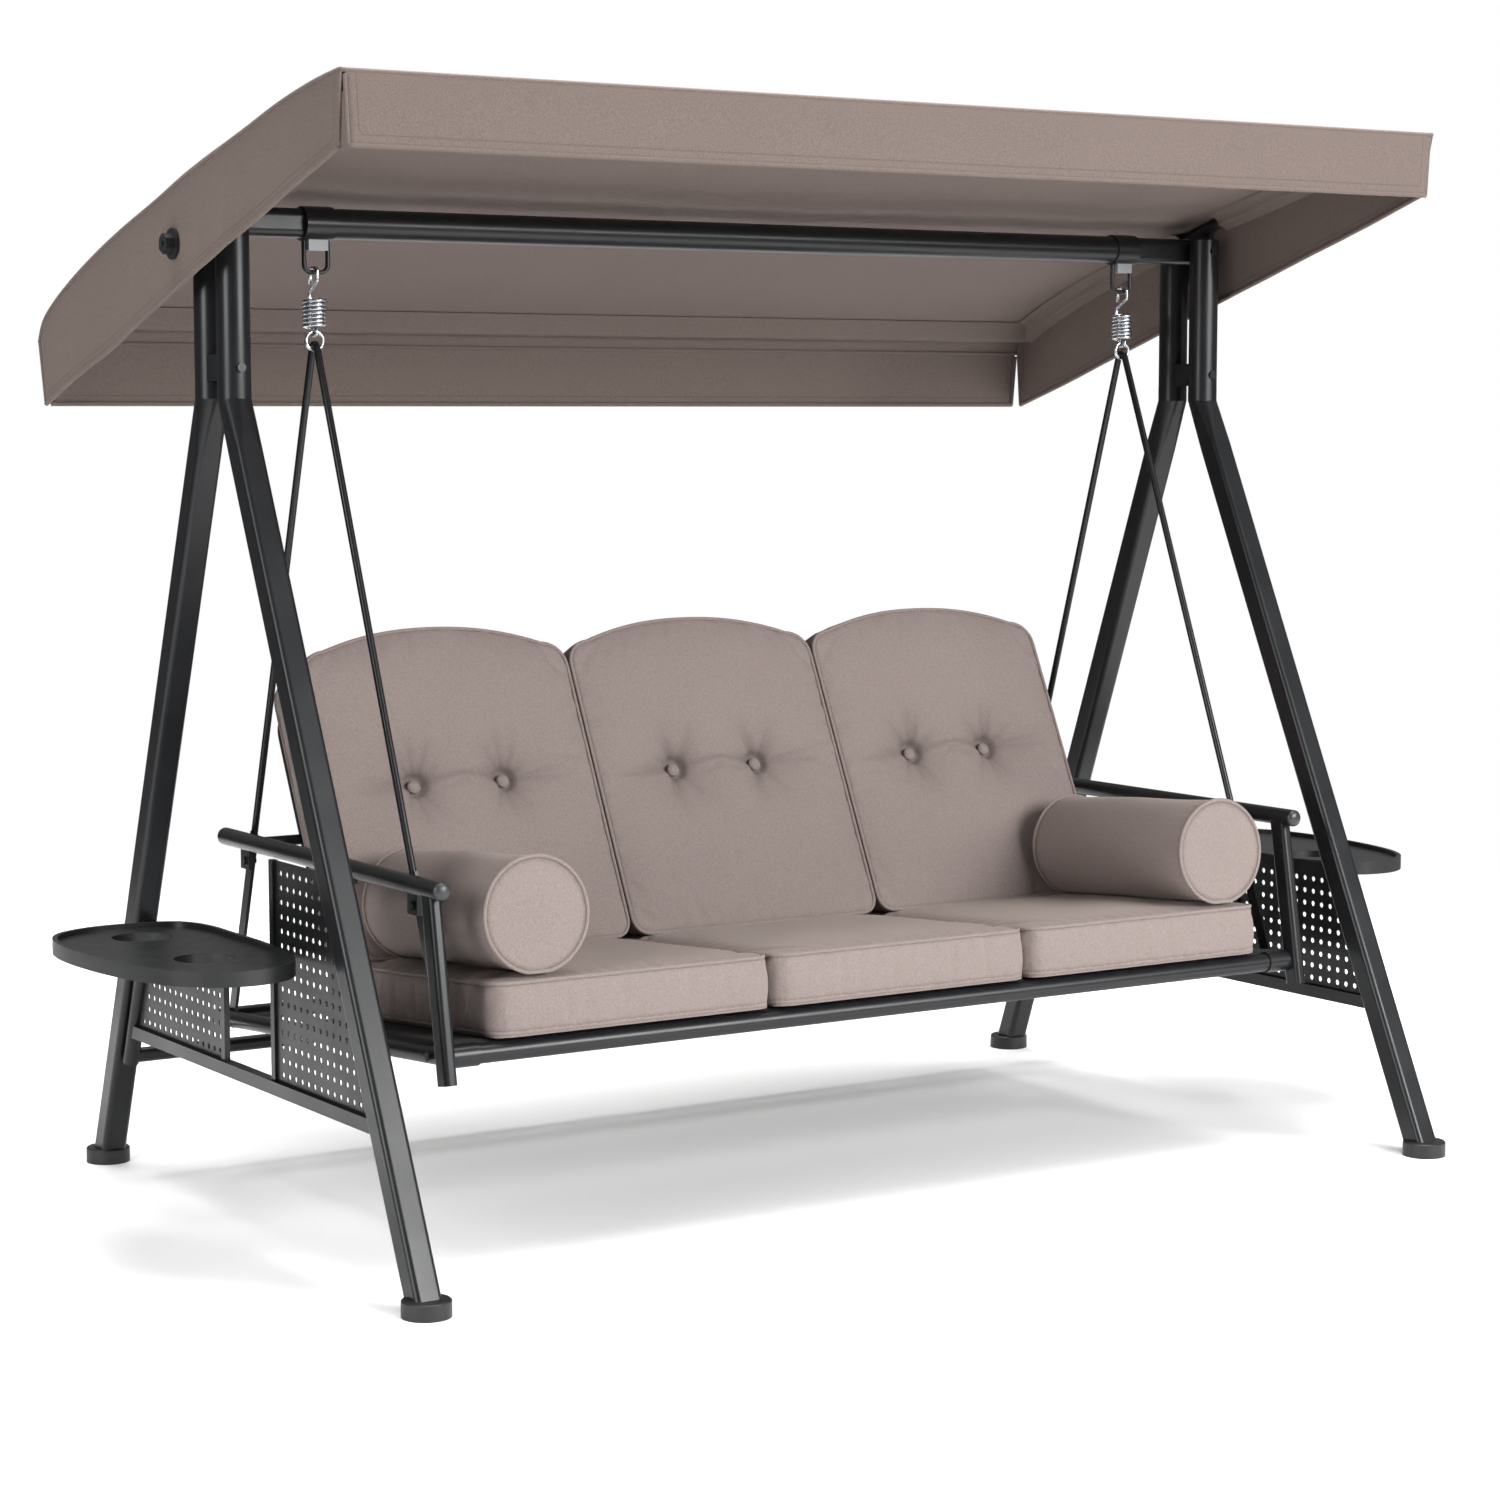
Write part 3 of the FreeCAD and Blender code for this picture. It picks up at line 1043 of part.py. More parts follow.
def build_canopy():
    """Fabric roof, four valances, the tubes under them and the two tilt knobs."""
    under = roof_offset(T.fabric)
    upper = curve(roof_line())
    lower = curve(under)
    first, last = upper.StartPoint, upper.EndPoint
    closing = [Part.LineSegment(last, lower.EndPoint), Part.LineSegment(lower.StartPoint, first)]
    width = expr("canopy_half", 2.0)
    at = place(-T.canopy_half, 0, 0, YZ)
    top = extrude("canopy_top", sketch("roof_line", [upper, lower] + closing, at), width)
    node(top)

    reach = T.canopy_half - T.fabric - T.valance_gap
    front_y, rear_y = under[0][0], under[-1][0]
    front = box("front_valance", 2 * reach, expr("fabric"), under[0][1] - 0.7 - T.valance_front_low,
                place(0, front_y + T.fabric / 2, T.valance_front_low))
    node(front)
    rear = box("rear_valance", 2 * reach, expr("fabric"), under[-1][1] - T.valance_rear_low,
               place(0, rear_y - T.fabric / 2 + 1.5, T.valance_rear_low))
    node(rear)
    for name, side in SIDES:
        start = under[0][0] + T.valance_gap
        stop = under[-1][0] - T.valance_gap
        kept = [p for p in roof_offset(T.fabric + T.rest_gap) if start < p[0] < stop - 6.0]
        edge = curve(kept)
        low = [V(kept[-1][0], T.valance_rear_low, 0), V(kept[0][0], T.valance_front_low, 0)]
        lines = [Part.LineSegment(edge.EndPoint, low[0]), Part.LineSegment(low[0], low[1]),
                 Part.LineSegment(low[1], edge.StartPoint)]
        x = T.canopy_half - T.fabric if side > 0 else -T.canopy_half
        flap = extrude(name + "_flap", sketch(name + "_flap_line", [edge] + lines,
                                              place(x, 0, 0, YZ)), expr("fabric"))
        bore = cylinder(name + "_flap_bore", expr("knob_shaft", 0.5, 1.0), 20.0,
                        place(side * (T.canopy_half - 10.0), T.pivot_back, T.pivot_level,
                              along((side, 0, 0))))
        node(cut(name + "_valance", flap, [bore]))

    drop = T.fabric + T.canopy_arm_dia / 2 + T.rest_gap
    line = [p for p in roof_offset(drop) if -560.0 < p[0] < 596.0]
    bars = []
    for name, side in SIDES:
        path = sketch(name + "_arm_path", [curve(line)],
                      place(side * T.canopy_arm_line, 0, 0, YZ))
        way = curve(line).tangent(curve(line).FirstParameter)[0]
        rod = sweep(name + "_canopy_rod", path, line[0], (way.x, way.y),
                    expr("canopy_arm_dia", 0.5))
        inner = T.stub_end + T.hinge_plate + 0.5
        plate = box(name + "_tilt_plate", expr("hinge_plate"), 60.0, 96.0,
                    place(side * (inner + T.hinge_plate / 2), T.pivot_back, T.pivot_level - 20.0))
        bore = cylinder(name + "_tilt_bore", expr("knob_shaft", 0.5, 0.06), 30.0,
                        place(side * inner - side * 10.0, T.pivot_back, T.pivot_level,
                              along((side, 0, 0))))
        node(cut(name + "_canopy_arm", fuse(name + "_arm_whole", [rod, plate]), [bore]))
        shaft_start = T.stub_end - 2.0
        face = T.canopy_half + 0.4
        turn = along((side, 0, 0))
        shaft = cylinder(name + "_knob_shaft", expr("knob_shaft", 0.5), face - shaft_start + 1.0,
                         place(side * shaft_start, T.pivot_back, T.pivot_level, turn))
        base = cylinder(name + "_knob_base", expr("knob_dia", 0.5), expr("knob_base"),
                        place(side * face, T.pivot_back, T.pivot_level, turn))
        boss = add("Part::Prism", name + "_knob_boss")
        boss.Polygon = 6
        boss.setExpression("Circumradius", expr("knob_boss"))
        boss.setExpression("Height", expr("knob_tall"))
        boss.Placement = place(side * face, T.pivot_back, T.pivot_level, turn)
        dimple = cylinder(name + "_knob_dimple", 4.0, 8.0,
                          place(side * (face + T.knob_tall - 6.0), T.pivot_back, T.pivot_level,
                                turn))
        node(cut(name + "_tilt_knob", fuse(name + "_knob_solid", [shaft, base, boss]), [dimple]))
    half = T.canopy_arm_line - T.canopy_arm_dia / 2
    for tag, spot in (("front", line[0]), ("rear", line[-1])):
        bars.append(tube(tag + "_cross_bar", (-half, spot[0], spot[1]),
                         (half, spot[0], spot[1]), expr("canopy_arm_dia", 0.5), 1.5))
    node(group("canopy_cross_bars", bars))


leg_outers = build_legs()
build_uprights()
build_beam()
build_side_frames(leg_outers)
build_trays()
build_suspension()
build_hangers()
arm_solids, mid_rail = build_seat_frame()
build_back(arm_solids, mid_rail)
build_cushions()
build_canopy()
doc.recompute()

for obj in doc.Objects:
    if "Invalid" in obj.State or "Error" in obj.State:
        raise RuntimeError("%s is %s" % (obj.Label, obj.State))
os.makedirs("parts", exist_ok=True)
for name, obj in NODES.items():
    if obj.Shape.isNull() or not obj.Shape.isValid() or not obj.Shape.Solids:
        raise RuntimeError("%s has no valid solid" % name)
    obj.Shape.exportStep("parts/%s.step" % name)
print("%d nodes written" % len(NODES))
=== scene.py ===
"""Finishes, soft goods and light for a three-seat garden swing with a tilting canopy."""
import logging
import math
from dataclasses import dataclass, field
from enum import Enum

import bmesh
import bpy
import numpy as np
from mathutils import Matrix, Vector


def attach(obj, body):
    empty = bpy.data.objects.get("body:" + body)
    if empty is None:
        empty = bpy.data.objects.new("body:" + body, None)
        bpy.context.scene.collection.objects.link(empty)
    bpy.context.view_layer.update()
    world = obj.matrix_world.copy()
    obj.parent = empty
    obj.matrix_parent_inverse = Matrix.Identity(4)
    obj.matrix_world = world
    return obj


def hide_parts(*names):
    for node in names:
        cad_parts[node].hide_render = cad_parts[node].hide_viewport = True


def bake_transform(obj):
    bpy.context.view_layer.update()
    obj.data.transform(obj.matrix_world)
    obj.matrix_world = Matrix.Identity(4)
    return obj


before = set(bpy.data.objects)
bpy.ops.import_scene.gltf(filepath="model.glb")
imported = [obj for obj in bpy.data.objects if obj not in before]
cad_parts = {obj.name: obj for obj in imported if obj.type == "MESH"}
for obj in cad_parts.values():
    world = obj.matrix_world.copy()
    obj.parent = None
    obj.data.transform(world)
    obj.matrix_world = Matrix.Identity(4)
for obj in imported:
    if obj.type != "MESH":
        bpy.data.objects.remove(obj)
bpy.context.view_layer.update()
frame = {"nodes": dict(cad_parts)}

LOG = logging.getLogger("swing")
MM = 0.001
Array = np.ndarray


class Side(Enum):
    """The swing's two sides, with the sign of x on each."""

    LEFT = -1
    RIGHT = 1

    @property
    def word(self) -> str:
        """The side's name as the CAD nodes spell it."""
        return self.name.lower()


# ------------------------------------------------------------------ colour and nodes
def linear(colour: str, share: float = 1.0) -> tuple[float, ...]:
    """Turns an sRGB hex colour into linear RGBA, with the usual two-part curve.

    Args:
        colour: six hex digits after a hash.
        share: what red, green and blue are multiplied by, up to one.

    Returns:
        Red, green, blue and an alpha of one.
    """
    parts = [int(colour[k:k + 2], 16) / 255 for k in (1, 3, 5)]
    low = [c / 12.92 if c <= 0.04045 else ((c + 0.055) / 1.055) ** 2.4 for c in parts]
    return (*(min(1.0, c * share) for c in low), 1.0)


def add_node(tree: bpy.types.NodeTree, kind: str, inputs: dict | tuple = (),
             out: int | str = 0, **settings: object) -> bpy.types.NodeSocket | None:
    """Adds one node with its settings, its input values and its links.

    Args:
        tree: the node tree it goes into.
        kind: the node's type name, without its first word.
        inputs: values, or output sockets to link, in order or by the input's name or number.
        out: which output is wanted.
        settings: attributes of the node itself.

    Returns:
        The wanted output, or nothing where the node has none.
    """
    made = tree.nodes.new("ShaderNode" + kind)
    for name, value in settings.items():
        setattr(made, name, value)
    for name, value in inputs.items() if isinstance(inputs, dict) else enumerate(inputs):
        if isinstance(value, bpy.types.NodeSocket):
            tree.links.new(value, made.inputs[name])
        else:
            made.inputs[name].default_value = value
    return made.outputs[out] if made.outputs else None


def empty_material(name: str) -> tuple[bpy.types.Material, bpy.types.NodeTree]:
    """Makes a material with no nodes yet, and gives it with its node tree."""
    material = bpy.data.materials.new(name)
    material.use_nodes = True
    material.node_tree.nodes.clear()
    return material, material.node_tree


# ------------------------------------------------------------------ finishes
@dataclass(frozen=True)
class Finish:
    """What a surface is made of. Each kind says how its shader is fed."""

    name: str
    colour: str

    def material(self) -> bpy.types.Material:
        """Makes the material: one principled shader, fed by the kind's own nodes."""
        material, tree = empty_material(self.name)
        shader = add_node(tree, "BsdfPrincipled", self.feed(tree))
        add_node(tree, "OutputMaterial", {"Surface": shader})
        return material

    def feed(self, tree: bpy.types.NodeTree) -> dict[str, object]:
        """Builds the nodes before the shader.

        Args:
            tree: the material's node tree.

        Returns:
            The shader's inputs by name.
        """
        raise NotImplementedError


@dataclass(frozen=True)
class CoatedSteel(Finish):
    """Steel tube with a baked powder coat: even, slightly soft gloss with a very fine ripple."""

    roughness: float = 0.34
    ripple_mm: float = 1.6
    ripple: float = 0.04
    shine: float = 0.34

    def feed(self, tree: bpy.types.NodeTree) -> dict[str, object]:
        """Builds the coat: a dark base, roughness that drifts a little, and orange-peel bump."""
        place = add_node(tree, "TexCoord", out="Object")
        peel = add_node(tree, "TexNoise", {"Vector": place, "Scale": 1 / (self.ripple_mm * MM),
                                           "Detail": 2.0, "Roughness": 0.6})
        drift = add_node(tree, "TexNoise", {"Vector": place, "Scale": 9.0, "Detail": 3.0})
        rough = add_node(tree, "MapRange", (drift, 0.3, 0.7, self.roughness - 0.03,
                                            self.roughness + 0.05))
        tone = add_node(tree, "MapRange", (peel, 0.35, 0.65, 0.0, 1.0))
        base = add_node(tree, "Mix", {0: tone, 6: linear(self.colour, 0.85),
                                      7: linear(self.colour, 1.25)}, 2, data_type="RGBA")
        bump = add_node(tree, "Bump", {"Strength": self.ripple, "Distance": 0.0004,
                                       "Height": peel})
        return {"Base Color": base, "Roughness": rough, "Normal": bump, "IOR": 1.5,
                "Specular IOR Level": self.shine}


@dataclass(frozen=True)
class Moulding(Finish):
    """Moulded plastic or rubber: no metal gleam, a fine spark-eroded grain and a soft sheen."""

    roughness: float = 0.5
    grain_mm: float = 1.3
    grain: float = 0.16
    ior: float = 1.49

    def feed(self, tree: bpy.types.NodeTree) -> dict[str, object]:
        """Builds the moulding: cell-like grain in the bump, and a base tone that barely varies."""
        place = add_node(tree, "TexCoord", out="Object")
        cells = add_node(tree, "TexVoronoi", {"Vector": place, "Scale": 1 / (self.grain_mm * MM)},
                         feature="SMOOTH_F1")
        flow = add_node(tree, "TexNoise", {"Vector": place, "Scale": 22.0, "Detail": 2.0})
        tone = add_node(tree, "MapRange", (flow, 0.35, 0.65, 0.0, 1.0))
        base = add_node(tree, "Mix", {0: tone, 6: linear(self.colour),
                                      7: linear(self.colour, 1.18)}, 2, data_type="RGBA")
        rough = add_node(tree, "MapRange", (flow, 0.3, 0.7, self.roughness - 0.04,
                                            self.roughness + 0.04))
        bump = add_node(tree, "Bump", {"Strength": self.grain, "Distance": 0.0003,
                                       "Height": cells})
        return {"Base Color": base, "Roughness": rough, "Normal": bump, "IOR": self.ior}


@dataclass(frozen=True)
class ZincWire(Finish):
    """Drawn spring wire with bright zinc plating: clean metal shine, faint cloudy patches."""

    roughness: float = 0.24

    def feed(self, tree: bpy.types.NodeTree) -> dict[str, object]:
        """Builds the plating: metal, with roughness that clouds over a few millimetres."""
        place = add_node(tree, "TexCoord", out="Object")
        cloud = add_node(tree, "TexNoise", {"Vector": place, "Scale": 140.0, "Detail": 4.0})
        tone = add_node(tree, "MapRange", (cloud, 0.35, 0.7, 0.0, 1.0))
        base = add_node(tree, "Mix", {0: tone, 6: linear("#a9acb1"), 7: linear(self.colour)}, 2,
                        data_type="RGBA")
        rough = add_node(tree, "MapRange", (cloud, 0.3, 0.7, self.roughness + 0.12,
                                            self.roughness - 0.05))
        return {"Base Color": base, "Metallic": 1.0, "Roughness": rough}


@dataclass(frozen=True)
class WovenCloth(Finish):
    """Woven polyester: matt heathered threads, a soft sheen at the edges, stitches by the hems.

    The real thread spacing is about 0.6 mm, too fine to show, so it is drawn as thread_mm.
    """

    second: str
    thread_mm: float = 2.2
    relief: float = 0.35
    sheen: float = 0.25
    stitch_mm: float = 0.0

    def feed(self, tree: bpy.types.NodeTree) -> dict[str, object]:
        """Builds the cloth: over-and-under threads from the UV map, heather from fine noise."""
        dark = linear(self.second)
        split = add_node(tree, "SeparateXYZ", (add_node(tree, "TexCoord", out="UV"),)).node
        turn = math.pi / (self.thread_mm * MM)
        warp, weft = (
            add_node(tree, "Math", (add_node(tree, "Math", (split.outputs[k], turn),
                                             operation="MULTIPLY"),), operation="SINE")
            for k in (0, 1))
        crossing = add_node(tree, "Math", (warp, weft), operation="MULTIPLY")
        over = add_node(tree, "Math", (crossing, 0.0), operation="GREATER_THAN")
        high = [add_node(tree, "Math", (wave,), operation="ABSOLUTE") for wave in (warp, weft)]
        rise = add_node(tree, "Mix", {0: over, 2: high[0], 3: high[1]})
        place = add_node(tree, "TexCoord", out="Object")
        fleck = add_node(tree, "TexNoise", {"Vector": place, "Scale": 420.0, "Detail": 3.0,
                                            "Roughness": 0.7})
        cloud = add_node(tree, "TexNoise", {"Vector": place, "Scale": 5.0, "Detail": 3.0})
        tone = add_node(tree, "MapRange", (fleck, 0.36, 0.64, 0.0, 1.0))
        heather = add_node(tree, "Mix", {0: tone, 6: dark, 7: linear(self.colour)}, 2,
                           data_type="RGBA")
        patch = add_node(tree, "MapRange", (cloud, 0.3, 0.7, 0.0, 0.12))
        base = add_node(tree, "Mix", {0: patch, 6: heather, 7: dark}, 2, data_type="RGBA")
        fuzz = add_node(tree, "Math", (fleck, 0.8), operation="MULTIPLY")
        height = add_node(tree, "Math", (rise, fuzz), operation="ADD")
        if self.stitch_mm:
            hem = add_node(tree, "Attribute", out="Fac", attribute_name="hem")
            off = add_node(tree, "Math", (hem, self.stitch_mm * MM), operation="SUBTRACT")
            line = add_node(tree, "Math", (off,), operation="ABSOLUTE")
            groove = add_node(tree, "MapRange", (line, 0.0, 0.0022, 1.0, 0.0))
            sunk = add_node(tree, "Math", (groove, 3.0), operation="MULTIPLY")
            height = add_node(tree, "Math", (height, sunk), operation="SUBTRACT")
            # Painted shade: the colour darkens towards #4a403b in the sunk stitch groove.
            shade = add_node(tree, "Math", (groove, 0.35), operation="MULTIPLY")
            base = add_node(tree, "Mix", {0: shade, 6: base, 7: linear("#4a403b")}, 2,
                            data_type="RGBA")
        # Painted shade: the cloth's colour darkens towards #2c2623 in the grooves by the piping and
        # in the creases and rings round the buttons.
        seam = add_node(tree, "Attribute", out="Fac", attribute_name="seam")
        shade = add_node(tree, "Math", (seam, 0.62), operation="MULTIPLY")
        base = add_node(tree, "Mix", {0: shade, 6: base, 7: linear("#2c2623")}, 2,
                        data_type="RGBA")
        bump = add_node(tree, "Bump", {"Strength": self.relief, "Distance": 0.0005,
                                       "Height": height})
        return {"Base Color": base, "Roughness": 0.86, "Normal": bump,
                "Specular IOR Level": 0.22, "Sheen Weight": self.sheen,
                "Sheen Roughness": 0.45, "Sheen Tint": linear("#cfc2bb")}


CUSHION_CLOTH = WovenCloth("heathered_woven_polyester", "#877b77", "#766b67")
CANOPY_CLOTH = WovenCloth("water_resistant_woven_polyester", "#70645e", "#615652", 2.2, 0.3, 0.15,
                          17.0)
WEB_CLOTH = WovenCloth("coated_mesh_webbing", "#2b2b2c", "#171718", 3.0, 0.5, 0.05)
ZINC_WIRE = ZincWire("bright_zinc_plated_wire", "#d4d6d9")

NODE_FINISH: dict[Finish, tuple[str, ...]] = {
    CoatedSteel("charcoal_powder_coated_steel", "#141517", 0.31): (
        "left_front_leg", "left_rear_leg", "right_front_leg", "right_rear_leg",
        "left_uprights", "right_uprights", "upright_spacers", "main_beam",
        "left_beam_end", "right_beam_end", "left_lower_rail", "right_lower_rail",
        "left_posts", "right_posts", "rear_cross_tube", "tray_brackets",
        "left_armrest", "right_armrest", "left_arm_post", "right_arm_post",
        "seat_front_rail", "seat_frame", "back_frame", "left_canopy_arm",
        "right_canopy_arm", "canopy_cross_bars", "staples"),
    CoatedSteel("satin_black_coated_rod", "#101112", 0.28): ("left_hanger", "right_hanger"),
    CoatedSteel("punched_sheet_powder_coated", "#111213", 0.34): (
        "left_front_panel", "left_rear_panel", "right_front_panel", "right_rear_panel"),
    CoatedSteel("blackened_bolt_steel", "#1c1c1e", 0.3, 0.9, 0.06): ("upright_bolts",
                                                                    "seat_bolts"),
    Moulding("moulded_rubber_foot", "#0f0f10", 0.5, ior=1.52): ("feet",),
    Moulding("grained_polypropylene_tray", "#151617", 0.36): ("left_tray", "right_tray"),
    Moulding("grey_nylon_end_cap", "#28292b", 0.36, 1.0, 0.08): ("armrest_caps",),
    Moulding("black_nylon_knob", "#191a1c", 0.4, 1.0, 0.1): ("left_tilt_knob",
                                                            "right_tilt_knob"),
    Moulding("natural_nylon_saddle", "#808184", 0.4, 1.0, 0.05): ("staple_saddles",),
    ZINC_WIRE: ("link_rings",),
}


class FinishShelf:
    """Keeps one material for each finish, made when it is first asked for."""

    def __init__(self) -> None:
        """Starts with nothing made."""
        self.made: dict[Finish, bpy.types.Material] = {}

    def dress(self, piece: bpy.types.Object, finish: Finish) -> None:
        """Gives a piece one finish all over.

        Args:
            piece: the mesh object.
            finish: the finish it takes.
        """
        if finish not in self.made:
            self.made[finish] = finish.material()
        if not piece.material_slots:
            piece.data.materials.append(self.made[finish])
        for spot in piece.material_slots:
            spot.material = self.made[finish]

    def fit(self, piece: bpy.types.Object, finish: Finish, body: str) -> bpy.types.Object:
        """Dresses a piece and puts it on its body.

        Args:
            piece: the finished object.
            finish: the finish it takes.
            body: the CAD body it rides on.

        Returns:
            The same object.
        """
        self.dress(piece, finish)
        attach(piece, body)
        LOG.info("%s: %d points on %s", piece.name, len(piece.data.vertices), body)
        return piece

    def dress_frame(self) -> None:
        """Gives every kept CAD node its finish."""
        for finish, names in NODE_FINISH.items():
            for name in names:
                self.dress(frame["nodes"][name], finish)


# ------------------------------------------------------------------ mesh helpers
def grid_faces(rows: int, columns: int, closed_rows: bool = False,
               closed_columns: bool = False) -> Array:
    """Quads that join a grid of points to its next row and column.

    Args:
        rows: points down.
        columns: points across.
        closed_rows: the last row joins the first.
        closed_columns: the last column joins the first.

    Returns:
        Vertex numbers, four to a face.
    """
    r = np.arange(rows if closed_rows else rows - 1)[:, None]
    c = np.arange(columns if closed_columns else columns - 1)[None, :]
    r2, c2 = (r + 1) % rows, (c + 1) % columns
    quads = np.stack([r * columns + c, r * columns + c2, r2 * columns + c2, r2 * columns + c], -1)
    return quads.reshape(-1, 4)


def capped_faces(rows: int, columns: int) -> list[list[int]]:
    """Quads round a grid of points that closes on itself, and one face over each end.

    Args:
        rows: rings of points.
        columns: points round each ring.

    Returns:
        Vertex numbers of each face.
    """
    ring = np.arange(columns)
    return grid_faces(rows, columns, False, True).tolist() + [
        ring[::-1].tolist(), ((rows - 1) * columns + ring).tolist()]


def distance_along(path: Array) -> Array:
    """How far each of a path's points lies along it: the sum of the steps before it."""
    return np.concatenate([[0.0], np.cumsum(np.linalg.norm(np.diff(path, axis=0), axis=1))])


def make_mesh(name: str, points: Array, faces: list | Array, smooth: bool = True,
              uv: Array | None = None) -> bpy.types.Object:
    """Puts points and faces into a new object at the origin.

    Args:
        name: the piece's name.
        points: N by 3 places in metres.
        faces: vertex numbers of each face.
        smooth: shade the faces smooth.
        uv: N by 2 cloth coordinates in metres, one for each point.

    Returns:
        The new object.
    """
    mesh = bpy.data.meshes.new(name)
    listed = faces.tolist() if isinstance(faces, np.ndarray) else faces
    mesh.from_pydata(np.asarray(points, float).reshape(-1, 3).tolist(), [], listed)
    if uv is not None:
        set_uv(mesh, uv)
    mesh.polygons.foreach_set("use_smooth", np.full(len(mesh.polygons), smooth))
    mesh.update()
    made = bpy.data.objects.new(name, mesh)
    bpy.context.scene.collection.objects.link(made)
    return made


def set_uv(mesh: bpy.types.Mesh, uv: Array) -> None:
    """Writes a UV map from one pair for each point.

    Args:
        mesh: the mesh that gets the map.
        uv: N by 2 cloth coordinates in metres.
    """
    corners = np.empty(len(mesh.loops), int)
    mesh.loops.foreach_get("vertex_index", corners)
    layer = mesh.uv_layers.new(name="cloth")
    layer.data.foreach_set("uv", np.asarray(uv, float)[corners].astype(np.float32).ravel())


def read_points(mesh: bpy.types.Mesh) -> Array:
    """Gives a mesh's points as an N by 3 array."""
    flat = np.empty(len(mesh.vertices) * 3)
    mesh.vertices.foreach_get("co", flat)
    return flat.reshape(-1, 3)


def write_points(mesh: bpy.types.Mesh, points: Array) -> None:
    """Puts an N by 3 array back as a mesh's points."""
    mesh.vertices.foreach_set("co", points.ravel())
    mesh.update()


def unit(vectors: Array) -> Array:
    """Scales vectors to length one along the last axis."""
    return vectors / np.maximum(np.linalg.norm(vectors, axis=-1, keepdims=True), 1e-12)


def tube_points(path: Array, radius: float | Array, sides: int, closed: bool,
                up: tuple[float, float, float]) -> Array:
    """Rings of points round a path: centre + r (cos a * side + sin a * rise).

    Args:
        path: N by 3 centre line.
        radius: one radius, or one for each point.
        sides: points round each ring.
        closed: the path joins itself.
        up: a direction that is never along the path.

    Returns:
        N by sides by 3 points.
    """
    if closed:
        ahead = np.roll(path, -1, 0) - np.roll(path, 1, 0)
    else:
        ahead = np.gradient(path, axis=0)
    ahead = unit(ahead)
    side = unit(np.cross(ahead, np.asarray(up, float)[None, :]))
    rise = np.cross(side, ahead)
    angle = np.linspace(0, 2 * math.pi, sides, endpoint=False)
    spread = np.broadcast_to(np.asarray(radius, float), (len(path),))[:, None, None]
    ring = (np.cos(angle)[None, :, None] * side[:, None, :]
            + np.sin(angle)[None, :, None] * rise[:, None, :])
    return path[:, None, :] + spread * ring


def make_tube(name: str, path: Array, radius: float | Array, sides: int = 8, closed: bool = False,
              up: tuple[float, float, float] = (0, 0, 1)) -> bpy.types.Object:
    """Makes a tube along a path, with flat ends if it is open.

    Args:
        name: the piece's name.
        path: N by 3 centre line.
        radius: one radius, or one for each point.
        sides: points round it.
        closed: the path joins itself.
        up: a direction that is never along the path.

    Returns:
        The tube object, with a UV map that runs along it.
    """
    points = tube_points(path, radius, sides, closed, up)
    if closed:
        faces = grid_faces(len(path), sides, True, True)[:, ::-1]
    else:
        faces = [face[::-1] for face in capped_faces(len(path), sides)]
    around = np.linspace(0, 2 * math.pi * float(np.mean(radius)), sides)
    uv = np.stack(np.broadcast_arrays(distance_along(path)[:, None], around), -1).reshape(-1, 2)
    return make_mesh(name, points, faces, uv=uv)


def joined(name: str, pieces: list[bpy.types.Object]) -> bpy.types.Object:
    """Joins meshes into the first one and names it.

    Args:
        name: the name of the whole.
        pieces: meshes at the origin.

    Returns:
        The joined object.
    """
    with bpy.context.temp_override(active_object=pieces[0], object=pieces[0],
                                   selected_objects=pieces, selected_editable_objects=pieces):
        bpy.ops.object.join()
    pieces[0].name = name
    pieces[0].data.name = name
    return pieces[0]


def face_out(piece: bpy.types.Object) -> None:
    """Turns a closed shell's faces outwards.

    Args:
        piece: the mesh object.
    """
    work = bmesh.new()
    work.from_mesh(piece.data)
    bmesh.ops.recalc_face_normals(work, faces=work.faces)
    work.to_mesh(piece.data)
    work.free()


def smooth_curve(points: Array, count: int) -> Array:
    """Passes a natural cubic through points by chord length and samples it evenly.

    Args:
        points: N by 2 or 3 places.
        count: how many samples.

    Returns:
        The samples.
    """
    points = np.asarray(points, float)
    knots = distance_along(points)
    h = np.diff(knots)
    n = len(points)
    system, right = np.eye(n), np.zeros((n, points.shape[1]))
    inner = np.arange(1, n - 1)
    system[inner, inner - 1] = h[:-1]
    system[inner, inner] = 2 * (h[:-1] + h[1:])
    system[inner, inner + 1] = h[1:]
    slope = np.diff(points, axis=0) / h[:, None]
    right[1:-1] = 6 * np.diff(slope, axis=0)
    bend = np.linalg.solve(system, right)
    at = np.linspace(0, knots[-1], count)
    k = np.clip(np.searchsorted(knots, at, side="right") - 1, 0, n - 2)
    a, b = (knots[k + 1] - at)[:, None], (at - knots[k])[:, None]
    w = h[k][:, None]
    return (bend[k] * a ** 3 + bend[k + 1] * b ** 3) / (6 * w) \
        + (points[k] / w - bend[k] * w / 6) * a + (points[k + 1] / w - bend[k + 1] * w / 6) * b


def resample(path: Array, count: int, closed: bool) -> Array:
    """Spaces a path's points evenly along its length.

    Args:
        path: the points.
        count: how many to give.
        closed: the path joins itself, and the first point isn't repeated.

    Returns:
        count evenly spaced points.
    """
    whole = np.vstack([path, path[:1]]) if closed else path
    run = distance_along(whole)
    at = np.linspace(0, run[-1], count, endpoint=not closed)
    return np.stack([np.interp(at, run, whole[:, k]) for k in range(path.shape[1])], -1)


